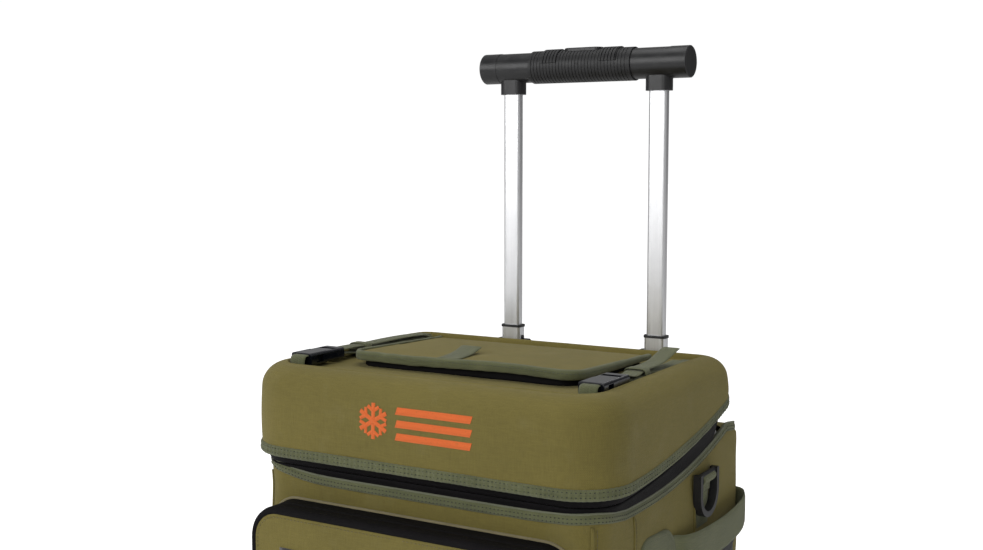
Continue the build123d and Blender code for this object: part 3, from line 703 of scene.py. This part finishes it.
BAND_END = 188                   # the webbing runs on along the raised back
mouth_path = open_path(BODY_HALF, BODY_FRONT, FRONT_R, BAND_END, 1.6)


def band_line(x, y):
    """The webbing follows the mouth, then the upper edge of the raised back."""
    return mouth_line(x, y) if y <= REAR_Y else min(mouth_line(x, y), shoulder(y) + 1.5)


mouth_rows = [(-3.0, 0.4), (-1.0, 1.5), (0.8, 1.5), (1.5, 0.5), (1.2, -0.8), (1.9, -2.0), (2.3, -4.0),
              (2.2, -6.2), (1.7, -7.9), (0.9, -9.1), (-0.6, -9.0), (-0.6, -2.0), (-3.0, -1.4)]
mouth_edge = band(mouth_path, mouth_rows[::-1], band_line)
piece("mouth_webbing", mouth_edge, webbing, "cooler", "body_binding")
for name, out, up in (("mouth_stitches", 2.4, -3.0), ("mouth_stitches_low", 2.3, -6.9)):
    piece(name, stitching(*line_on(mouth_path, out, up, band_line), **PIT), dark_thread, "cooler")
bead = [(x + nx * 0.9, y + ny * 0.9, band_line(x, y) + 1.2) for x, y, nx, ny in mouth_path[::2]]
piece("mouth_piping", round_bar(bead, 1.1), pale_webbing, "cooler")


def side_point(x, y):
    """Outward direction of the body wall at a plan position."""
    dx = max(abs(x) - (BODY_HALF - FRONT_R), 0) * math.copysign(1, x)
    dy = min(y - (BODY_FRONT + FRONT_R), 0)
    return unit(np.array([dx, dy])) if abs(dx) + abs(dy) > 1e-6 else np.array([math.copysign(1, x), 0])


seam_parts, seam_threads = [], []
for x, y in ((-193, -170), (193, -170), (-203, -99), (203, -99), (-203, 60), (203, 60)):
    nx, ny = side_point(x, y)
    heights = np.arange(BODY_FLOOR + 2, body_top(x, y) - 10, 6)
    wall_line = np.array([body_point(x, y, nx, ny, z) for z in heights])
    across, outward = np.array([-ny, nx, 0.0]), np.array([nx, ny, 0])
    seam_parts.append(ribbon(wall_line + outward * 0.3, across, 3.6, 1.8, 0.6))
    seam_threads.append(stitching(wall_line + outward * 0.25 + across * 4.6, outward, 4.2, 3.0, 0.36))
piece("body_seams", joined(*seam_parts), skin, "cooler")
piece("body_seam_stitches", joined(*seam_threads), olive_thread, "cooler")

# ---- front pocket ----
TAPE_LOW, TAPE_HIGH = cad("pocket_rear_tape")
P_HALF, P_LOW, P_TOP = TAPE_HIGH[0], TAPE_LOW[2], TAPE_HIGH[2]
P_FRONT = cad("pocket_cover")[0][1]
P_PART = TAPE_LOW[1]              # where the pocket's zipper parts
P_ROUND = 36                      # corner radius of the pocket


def pocket_ring(inset, counts=(12, 30, 40)):
    radius = max(P_ROUND - inset, 4)
    return outline(P_HALF - inset, P_LOW + inset, P_TOP - inset, radius, radius, counts)


def pocket_rows(steps):
    """Rows of (inset, y) round the pocket's outline, which stands in the XZ plane."""
    return [[(x, y, z) for x, z, _, _ in pocket_ring(inset)] for inset, y in steps]


def panel_y(depth):
    """Front of the pocket panel, domed away from its edge."""
    return P_FRONT - 0.4 - 2.4 * (1 - math.exp(-max(depth - 8, 0) / 26))


gusset = grid(pocket_rows([(0.4, BODY_FRONT + 0.6), (-0.3, BODY_FRONT - 3), (0.5, -190), (0.2, -195),
                           (0.9, P_PART + 0.5), (2.8, P_PART + 0.1)]), around=True)
piece("pocket_gusset", gusset, tape, "cooler", "pocket_rear_tape", wall=0.9)
border = pocket_rows([(3.2, P_PART - 0.3), (0.8, P_PART - 0.6), (0.1, -204), (0.5, -209), (-0.2, -213),
                      (0.6, P_FRONT + 1.6), (2.6, P_FRONT - 0.9), (4.8, P_FRONT - 1.5), (7.0, P_FRONT - 0.6),
                      (8.0, P_FRONT + 0.8)])
piece("pocket_border", grid(border, around=True), tape, "pocket_front", wall=0.9)
panel_rows = []
for inset in (6.6, 7.6, 9, 12, 17, 24, 33, 45, 60, 78, 98, 118, 129):
    ring = []
    for x, z, _, _ in pocket_ring(inset):
        slack = ripple((x, inset, z), 0.018, 1.2) * min(1, (inset - 6) / 20)
        ring.append((x, panel_y(inset) + (0.9 if inset < 7 else 0) + slack, z))
    panel_rows.append(ring)
piece("pocket_panel", domed(panel_rows), skin, "pocket_front", "pocket_cover", wall=1.4)
piping = [(x, BODY_FRONT - 1.6, z) for x, z, _, _ in pocket_ring(-1.0)]
piece("pocket_piping", round_bar(piping, 1.7, closed=True), khaki, "cooler")
pocket_edge = np.array([(x, panel_y(10.5) - 0.1, z) for x, z, _, _ in pocket_ring(10.5)])
piece("pocket_panel_stitches", stitching(pocket_edge, (0, -1, 0)), olive_thread, "pocket_front")

PATCH_LOW, PATCH_HIGH = cad("pocket_patch")


def panel_at(x, z):
    return panel_y(min(P_HALF - abs(x), z - P_LOW, P_TOP - z))


patch_rows = []
for z in np.linspace(PATCH_LOW[2], PATCH_HIGH[2], 24):
    row = []
    for x in np.linspace(PATCH_LOW[0], PATCH_HIGH[0], 44):
        rim = min(x - PATCH_LOW[0], PATCH_HIGH[0] - x, z - PATCH_LOW[2], PATCH_HIGH[2] - z)
        y = panel_at(x, z) - 1.5 * min(1, (rim + 0.4) / 2.5) - 0.5 + ripple((x, 0, z), 0.03, 0.5)
        row.append((x, y, z))
    patch_rows.append(row)
piece("loop_patch", grid(patch_rows), loop_cloth, "pocket_front", "pocket_patch", wall=1.6)
frame_pts = [(x, panel_at(x, z) - 2.1, z) for x, z, _, _ in
             outline(PATCH_HIGH[0] - 3, PATCH_LOW[2] + 3, PATCH_HIGH[2] - 3, 2, 2, (2, 30, 50))]
piece("loop_patch_stitches", stitching(frame_pts, (0, -1, 0)), black_thread, "pocket_front")

# ---- hatch ----
H_HALF, H_FRONT, H_BACK = HATCH_HIGH[0] + 2, HATCH_LOW[1] - 2, HATCH_HIGH[1]
H_LOW, H_TOP = HATCH_LOW[2], HATCH_HIGH[2]


def flap_z(x, y, level):
    """Height in the flap, from its underside at level 0 to its top at 1. It is full at the front,
    thinner towards the seam at its back, and bows up a little along the front edge."""
    ahead = clamp((H_BACK - y) / (H_BACK - H_FRONT))
    bow = 1.7 * math.exp(-((x - 55) / 60) ** 2) - 0.7 * math.exp(-((x + 70) / 40) ** 2)
    thick = (H_TOP - H_LOW) * (0.55 + 0.45 * ahead)
    return H_LOW + 1.5 - 2.8 * (1 - ahead) + bow * ahead ** 2 + thick * level


FLAP_R, FLAP_BACK_R = 22, 18


def flap_ring(inset):
    return outline(H_HALF - inset, H_FRONT + inset, H_BACK - inset * 0.3,
                   max(FLAP_R - inset, 4), max(FLAP_BACK_R - inset, 4), (9, 22, 30))


flap_rows = []
for inset, level in ((60, 0.08), (30, 0.08), (10, 0.08), (2.5, 0.12), (1.2, 0.4), (1.8, 0.78), (3.4, 0.86),
                     (6, 0.88), (12, 0.84), (22, 0.84), (36, 0.9), (52, 0.92), (74, 0.92)):
    flap_rows.append([(x, y, flap_z(x, y, level)) for x, y, _, _ in flap_ring(inset)])
flap = piece("hatch_flap", domed(flap_rows, both=True), skin, None)


def apply_modifiers(obj):
    graph = bpy.context.evaluated_depsgraph_get()
    baked = bpy.data.meshes.new_from_object(obj.evaluated_get(graph))
    obj.modifiers.clear()
    obj.data = baked
    obj.data.polygons.foreach_set("use_smooth", [True] * len(obj.data.polygons))


def inflate(obj, voxel=4.0, pressure=4.0, cap=4.0, frames=20, held=None):
    """Padding: cloth held along its edge and blown up a little, then frozen."""
    remesh = obj.modifiers.new("even", "REMESH")
    remesh.mode, remesh.voxel_size = "VOXEL", voxel * MM
    apply_modifiers(obj)
    start = np.array([v.co for v in obj.data.vertices])
    pins = obj.vertex_groups.new(name="pins")
    for vertex in obj.data.vertices:
        if held(np.array(vertex.co) / MM):
            pins.add([vertex.index], 1.0, "REPLACE")
    cloth = obj.modifiers.new("cloth", "CLOTH")
    cloth.settings.vertex_group_mass = "pins"
    cloth.settings.use_pressure = True
    cloth.settings.uniform_pressure_force = pressure
    cloth.settings.tension_stiffness = 12
    cloth.settings.compression_stiffness = 12
    cloth.settings.effector_weights.gravity = 0
    for number in range(1, frames + 1):
        bpy.context.scene.frame_set(number)
    apply_modifiers(obj)
    moved = np.array([v.co for v in obj.data.vertices]) - start
    length = np.linalg.norm(moved, axis=1, keepdims=True)
    moved *= np.minimum(1, cap * MM / np.maximum(length, 1e-9))
    obj.data.vertices.foreach_set("co", (start + moved).ravel())
    bpy.context.scene.frame_set(1)
    obj.modifiers.new("soften", "SUBSURF").render_levels = 1
    obj.modifiers["soften"].levels = 1
    apply_modifiers(obj)


def flap_held(p):
    """The flap is sewn round its border, and lies flat underneath."""
    rim = min(H_HALF - abs(p[0]), p[1] - H_FRONT, H_BACK - p[1])
    return rim < 9 or p[2] < flap_z(p[0], p[1], 0.35)


inflate(flap, held=flap_held)
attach(flap, "hatch")
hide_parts("hatch_panel")

flap_path = open_path(H_HALF, H_FRONT, FLAP_R, H_BACK, 1.8)


def flap_band(section):
    """Rows of (outward, level in the flap, up) round the flap's three free edges."""
    return [[(x + nx * out, y + ny * out, flap_z(x, y, level) + up) for x, y, nx, ny in flap_path]
            for out, level, up in section]


flap_section = [(-5.8, 0.84, 0.0), (-5.6, 0.95, 0.4), (-2.4, 0.98, 0.7), (-0.5, 0.96, 0.2), (0.5, 0.82, 0.0),
                (0.9, 0.5, 0.0), (0.7, 0.2, 0.0), (0.0, 0.04, 0.0), (-2.0, 0.0, -0.3), (-5.4, 0.0, -0.1),
                (-5.4, 0.06, 0.0), (-1.4, 0.1, 0.0), (-1.2, 0.8, 0.0)]
flap_edge = grid(flap_band(flap_section[::-1]), over=True)
for index, p in enumerate(flap_edge[0]):
    p[2] += ripple(p, 0.08, 0.5)
piece("hatch_edge_webbing", flap_edge, webbing, "hatch", "hatch_binding")
edge_line = line_on(flap_path, 0.8, 0, lambda x, y: flap_z(x, y, 0.66))
piece("hatch_edge_stitches", stitching(*edge_line), thread, "hatch")
wall_steps = ((4, 0, -0.4), (0.6, 0, 0.2), (0, 0, 1.4), (0.8, 0.5, 0), (0.2, 0.9, -0.4), (1.4, 1, -0.2),
              (3.4, 1, -0.3), (3.6, 0.8, 0), (3.6, 0, 0))
wall_rows = []
for inset, climb, up in wall_steps:
    ring = outline(WALL_HALF - inset, WALL_FRONT + inset, WALL_BACK - inset, 24 - inset, 18 - inset)
    wall_rows.append([(x, y, DISH + (flap_z(x, y, 0) - DISH) * climb + up) for x, y, _, _ in ring])
piece("hatch_zip_wall", grid(wall_rows, around=True), tape, "lid", "hatch_zipper_wall")

TAB_LOW, TAB_HIGH = cad("hatch_pull_tab")
tab_x, tab_width = (TAB_LOW[0] + TAB_HIGH[0]) / 2, TAB_HIGH[0] - TAB_LOW[0]
tab_path = spline([(tab_x, H_FRONT + dy, H_TOP + dz) for dy, dz in
                   ((1.0, -0.4), (3, 1.6), (12, 1.6), (28, 2.4), (42, 4.6), (54, 8.0))])
piece("hatch_tab", ribbon(tab_path, (1, 0, 0), tab_width, 1.9), webbing, "hatch", "hatch_pull_tab")
tab_stitch = [(x, H_FRONT + 5, H_TOP + 2.3) for x in np.linspace(TAB_LOW[0] + 2, TAB_HIGH[0] - 2, 8)]
piece("hatch_tab_stitches", stitching(tab_stitch, (0, 0, 1), 3.6, 2.8), thread, "hatch")

# ---- straps on the lid ----
STRAP_X, STRAP_WIDTH = 176, 20
SOCKET_LOW, SOCKET_HIGH = cad("buckle_sockets")
PLUG_HIGH = cad("right_buckle_plug")[1]
plug_y, plug_z = PLUG_HIGH[1], (SOCKET_LOW[2] + SOCKET_HIGH[2]) / 2
floor_z = DISH + 1.4


# Layers of each strap: points by the plug, behind it and on the lid, and the width. In the first two
# lists y runs from the plug. In the first z runs from the plug, in the others from the lid's panel.
STRAP_RUNS = {
    1: (([(0, -10, -1), (0, 8, -1.5)], [(0, 30, 5)],
         [(0, -30, 3), (0, 10, 1), (0, 60, 0.4), (0, 100, 0), (0, 116, 0)], STRAP_WIDTH),
        ([(0, -8, 2), (0.5, 4, 4.5), (0.5, 16, 2)], [(0, 30, 9)],
         [(-0.5, -34, 11), (-0.5, -20, 12), (-0.5, 0, 12), (-0.5, 18, 13), (0, 34, 16.5), (1, 50, 21),
          (1.5, 56, 22.5)], STRAP_WIDTH),
        ([(0, 6, -1)], [(0, 20, 6), (0, 36, 6)],
         [(0, -30, 7), (0, -8, 6.5), (0, 20, 4.4), (0, 60, 3.4), (0, 84, 4)], 19.5)),
    -1: (([(0, -10, -1), (0, 10, -2)], [(0, 34, 3.5)],
          [(0, -20, 1.2), (0, 60, 0.4), (0, 116, 0)], STRAP_WIDTH),
         ([(0, -8, 2), (0, 8, 3)], [(0.5, 30, 11.5)],
          [(1, -20, 10.5), (1.5, 20, 10.5), (1.5, 62, 9.5), (1, 92, 7.5), (1, 104, 6.5)], STRAP_WIDTH),
         ([], [], [(-1, -40, 6.5), (-1, 0, 5), (-2, 40, 5.4), (-2, 90, 4), (-2, 112, 3)], 19)),
}


def strap_run(side, by_plug, behind_plug, on_lid, width):
    points = ([(dx, plug_y + dy, plug_z + dz) for dx, dy, dz in by_plug]
              + [(dx, plug_y + dy, floor_z + dz) for dx, dy, dz in behind_plug]
              + [(dx, y, floor_z + dz) for dx, y, dz in on_lid])
    return ribbon(spline([(side * STRAP_X + dx, y, z) for dx, y, z in points]), (1, 0, 0), width, 1.7)


def keeper(side, y, z_low, z_high):
    """Webbing loop round the strap's layers."""
    half, mid = STRAP_WIDTH / 2 + 2, (z_low + z_high) / 2
    loop = [(side * STRAP_X + half * math.copysign(abs(math.cos(a)) ** 0.35, math.cos(a)), y,
             mid + (z_high - z_low) / 2 * math.copysign(abs(math.sin(a)) ** 0.6, math.sin(a)))
            for a in np.linspace(0, 2 * math.pi, 40)]
    return ribbon(loop, (0, 1, 0), 13, 1.3)


def strap_tack(side, y, z):
    """A box of stitches with a cross where the strap is sewn to the lid."""
    x0, x1, y0, y1 = side * STRAP_X - 7.5, side * STRAP_X + 7.5, y - 9, y + 9
    box = [(x0, y0), (x1, y0), (x1, y1), (x0, y1)]
    lines = [*zip(box, box[1:] + box[:1]), (box[0], box[2]), (box[3], box[1])]
    return joined(*[stitching(resample(np.array([(*a, z), (*b, z)], float), 1.0), (0, 0, 1), 3.4, 2.6, 0.36)
                    for a, b in lines])


for side, word in SIDES:
    runs = joined(*[strap_run(side, *layer) for layer in STRAP_RUNS[side]])
    loop = keeper(side, -32, floor_z - 0.6, floor_z + (13.5 if side > 0 else 13))
    strap = piece(f"{word}_strap", joined(runs, loop), webbing, None, *(["straps"] if side > 0 else []))
    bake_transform(strap)
    piece(f"{word}_strap_tack", strap_tack(side, 104, floor_z + 1.0), thread, "lid")
    fold_y, low, high = SOCKET_LOW[1], SOCKET_LOW[2], SOCKET_HIGH[2]
    fold_line = spline([(side * STRAP_X, fold_y + dy, z) for dy, z in
                        ((14, DISH + 1.0), (-2, DISH + 1.2), (-7.4, low + 0.5), (-6.0, high - 4.5),
                         (-1.0, high - 2.6), (6, high - 3.2))])
    piece(f"{word}_buckle_loop", ribbon(fold_line, (1, 0, 0), STRAP_WIDTH, 2.0), webbing, "lid",
          *(["strap_anchors"] if side > 0 else []))

# ---- webbing on the sides ----
HANDLE_LOW, HANDLE_HIGH = cad("side_handles")
handle_z = (HANDLE_LOW[2] + HANDLE_HIGH[2]) / 2
handle_width = HANDLE_HIGH[2] - HANDLE_LOW[2]
for side, word in SIDES:
    route = [(204.2, -60, 2.5), (204.6, -20, 2.0), (205.4, 2, 1.0), (212.5, 18, -1.5), (216.8, 45, -3.5),
             (218.0, 95, -5.5), (218.2, 140, -5.0), (217.4, 180, -1.5), (213.6, 201, 2), (205, 213.5, 3),
             (190, 217.6, 3), (150, 217.8, 3)]
    line = spline([(side * x, y, handle_z + dz) for x, y, dz in route], 3)
    strip = ribbon(line, (0, 0, -side), handle_width, 2.4, 0.8 * side)
    piece(f"{word}_side_handle", strip, webbing, "cooler",
          *(["side_handles"] if side > 0 else []))
    patch_outline = outline(31, -90, 3, 24, 24, (8, 10, 12))
    centre_z = handle_z + 3
    rings = []
    for inset, out in ((0, 0.0), (0.2, 1.6), (1.4, 2.6), (4, 3.0), (12, 3.2), (22, 3.2)):
        ring = []
        for u, v, nu, nv in patch_outline:
            y, dz = v - nv * inset, -side * (u - nu * inset)
            tilt = -0.09 * (y + 45)
            bulge = 1.2 * math.exp(-(dz / 22) ** 2)
            ring.append((side * (BODY_HALF + 0.4 + out + (bulge if out > 2 else 0)), y, centre_z + dz + tilt))
        rings.append(ring)
    piece(f"{word}_handle_patch", domed(rings), webbing, "cooler")
    sewn = [(side * (BODY_HALF + 3.6), v - nv * 5, centre_z - side * (u - nu * 5) - 0.09 * (v - nv * 5 + 45))
            for u, v, nu, nv in patch_outline]
    piece(f"{word}_patch_stitches", stitching(sewn + sewn[:1], (side, 0, 0)), thread, "cooler")
    ring_pin = cad(f"{word}_d_ring")
    pin_z = cad("ring_loops")[1][2] - 10
    pin_y = (ring_pin[0][1] + ring_pin[1][1]) / 2
    around = [(side * (BODY_HALF + out), pin_y, z) for out, z in
              ((1.6, handle_z + 10), (1.8, pin_z - 22), (2.6, pin_z - 9), (3.0, pin_z - 3))]
    over = [(side * (210 + 4.6 * math.cos(a)), pin_y, pin_z + 4.6 * math.sin(a))
            for a in np.radians(np.linspace(205, -60, 12))]
    down = [(side * (BODY_HALF + 4.6), pin_y, pin_z - 8), (side * (BODY_HALF + 3.8), pin_y, pin_z - 16)]
    piece(f"{word}_ring_loop", joined(ribbon(spline(around + over[:1], 2), (0, 1, 0), 38, 1.6),
                                      ribbon(spline(over + down, 1.5), (0, 1, 0), 37, 1.8)),
          webbing, "cooler", *(["ring_loops"] if side > 0 else []))

# ---- mesh pockets on the sides ----
MESH_LOW, MESH_HIGH = cad("mesh_pockets")
m_y0, m_y1, m_z0, m_z1 = MESH_LOW[1], MESH_HIGH[1], MESH_LOW[2], MESH_HIGH[2]
for side, word in SIDES:
    rows = []
    for v in np.linspace(0, 1, 18):
        row = []
        for u in np.linspace(0, 1, 40):
            y = m_y0 + (m_y1 - m_y0) * u
            top = m_z1 + 5 * max(0, (y - 100) / 90)
            edge = min(1.0, 5 * min(u, 1 - u))
            swell = (9.0 - 1.5 * v) * math.sqrt(edge) * min(1.0, 4 * v + 0.15)
            z = m_z0 + (top - m_z0) * v
            row.append((side * (BODY_HALF + 0.6 + swell + ripple((0, y, z), 0.03, 1.6, side * 5)), y, z))
        rows.append(row if side > 0 else row[::-1])
    piece(f"{word}_mesh_pocket", grid(rows), mesh_cloth, "cooler",
          *(["mesh_pockets"] if side > 0 else []), wall=0.9)
    rim = np.array(rows[-1]) + np.array([0, 0, 3.0])
    rim = rim if side > 0 else rim[::-1]
    piece(f"{word}_pocket_elastic", ribbon(rim, (0, 0, 1), 10, 2.2), elastic, "cooler",
          *(["pocket_elastics"] if side > 0 else []))
    hem = [(side * (BODY_HALF + 1.2), y, z) for y, z in
           ((m_y0, m_z1), (m_y0, m_z0), (m_y1, m_z0), (m_y1, m_z1))]
    piece(f"{word}_mesh_hem", ribbon(resample(np.array(hem), 3), (side, 0, 0), 3, 5), elastic, "cooler")

# ---- fabric hinge at the back of the lid ----
HINGE_LOW, HINGE_HIGH = cad("hinge_strip")
strip_rows = []
for y, z in ((LID_BACK + 0.6, seam(LID_BACK) + 12), (LID_BACK + 1.2, seam(LID_BACK) + 4), (158.5, 426),
             (160.5, 419), (164.5, 414), (167.2, 419), (168, 428)):
    strip_rows.append([(x, y, z + ripple((x, y, z), 0.04, 0.5))
                       for x in np.linspace(HINGE_LOW[0], HINGE_HIGH[0], 60)])
hinge = piece("hinge_cloth", grid(strip_rows), webbing, None, "hinge_strip", wall=1.0)
apply_modifiers(hinge)
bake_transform(hinge)

# ---- generic orange mark on the lid's front ----
MARK_Z = 436.5


def on_front(x, z, lift):
    low = seam(LID_FRONT) + 0.2
    return (x, LID_FRONT - lid_bulge(z, low) - ripple((x, LID_FRONT, z), 0.012, 0.7) - lift, z)


def printed_bar(x0, z0, x1, z1, width, lean=0.0):
    """A flat printed bar that follows the lid's face."""
    a, b = np.array([x0, z0]), np.array([x1, z1])
    along = unit(b - a)
    side_way = np.array([-along[1], along[0]]) * width / 2
    steps = max(2, int(np.linalg.norm(b - a) / 4))
    rows = []
    for s, lift in ((-1, 0.05), (-0.94, 0.4), (0.94, 0.4), (1, 0.05)):
        rows.append([on_front(*(a + (b - a) * t + side_way * s + np.array([lean * s, 0])), lift)
                     for t in np.linspace(0, 1, steps)])
    return grid(rows)


marks = []
cx = -42
for turn_index in range(3):
    a = math.radians(90 + 60 * turn_index)
    dx, dz = math.cos(a), math.sin(a)
    marks.append(printed_bar(cx - 18.5 * dx, MARK_Z - 18.5 * dz, cx + 18.5 * dx, MARK_Z + 18.5 * dz, 4.6))
    for sign in (1, -1):
        bx, bz = cx + sign * 10 * dx, MARK_Z + sign * 10 * dz
        for spread in (55, -55):
            b = a + math.radians(spread) + (0 if sign > 0 else math.pi)
            marks.append(printed_bar(bx, bz, bx + 8.5 * math.cos(b), bz + 8.5 * math.sin(b), 3.6))
for dz in (13, 0, -13):
    marks.append(printed_bar(-14, MARK_Z + dz, 74, MARK_Z + dz, 7.6, 1.2))
piece("front_mark", joined(*marks), printed, "lid")

# ---- finishes on the CAD parts that stay ----
slot_of = {row["node"]: row["material_slot"] for row in frame["record"]["subparts"]}
for name, obj in frame["nodes"].items():
    obj.data.materials.clear()
    obj.data.materials.append(RING if name.endswith("d_ring") else FINISHES.get(slot_of[name], foam))

# ---- stage, light and camera ----
floor_mesh = bpy.data.meshes.new("floor")
reach = 30
corners = [(-reach, -reach, 0), (reach, -reach, 0), (reach, reach, 0), (-reach, reach, 0)]
floor_mesh.from_pydata(corners, [], [(0, 1, 2, 3)])
floor_mat, floor_tree, floor_bsdf = shader("pale_floor", 0.9, Base_Color=rgba(0.93, 0.93, 0.93),
                                           Emission_Color=rgba(1, 1, 1))
seen = add(floor_tree, "LightPath").outputs["Is Camera Ray"]
# The camera sees a plain white sweep.
glow = add(floor_tree, "Mix", {0: seen, 2: 0.1, 3: 0.85}).outputs[0]
floor_tree.links.new(glow, floor_bsdf.inputs["Emission Strength"])
floor_mesh.materials.append(floor_mat)
put("floor", floor_mesh)

AMBIENT = 0.32               # light from all round; the camera sees plain white behind the object
world = bpy.data.worlds.new("studio")
bpy.context.scene.world = world
world.use_nodes = True
tree = world.node_tree
seen = add(tree, "LightPath").outputs["Is Camera Ray"]
sky = tree.nodes["Background"]
sky.inputs[0].default_value = rgba(1, 1, 1)
toward_sky = add(tree, "TexCoord").outputs["Generated"]
darker_side = {0: toward_sky, 1: (0.53, 0.84, -0.05)}
nearness = add(tree, "VectorMath", darker_side, operation="DOT_PRODUCT").outputs["Value"]
shade = span(tree, nearness, 0.72, 0.93, AMBIENT, 0.3 * AMBIENT)
tree.links.new(add(tree, "Mix", {0: seen, 2: shade, 3: 1.02}).outputs[0], sky.inputs[1])
bpy.context.scene.view_settings.view_transform = "Standard"


def softbox(name, place, aim, size, power):
    light = bpy.data.lights.new(name, "AREA")
    light.shape, light.size, light.energy = "SQUARE", size, power
    obj = put(name, light)
    obj.location = place
    obj.rotation_euler = (Vector(aim) - Vector(place)).to_track_quat("-Z", "Y").to_euler()


softbox("key", (-1.4, -2.6, 1.6), (0, 0, 0.45), 1.7, 33)
softbox("front", (0.6, -3.0, 1.6), (0, 0, 0.4), 1.2, 14)
softbox("top", (0.0, 0.1, 2.8), (0, 0, 0.4), 1.6, 18)
softbox("side", (2.6, 1.0, 2.3), (0, 0, 0.4), 1.2, 8)

AZIMUTH, PITCH = math.radians(30.48), math.radians(5.42)
camera_data = bpy.data.cameras.new("camera")
camera_data.lens = 45.30
camera_data.sensor_width = 36
camera_data.clip_end = 200
camera = put("camera", camera_data)
camera.location = (0.6845, -1.1914, 0.7011)
toward = Vector((-math.sin(AZIMUTH) * math.cos(PITCH), math.cos(AZIMUTH) * math.cos(PITCH), -math.sin(PITCH)))
camera.rotation_euler = toward.to_track_quat("-Z", "Y").to_euler()
bpy.context.scene.camera = camera
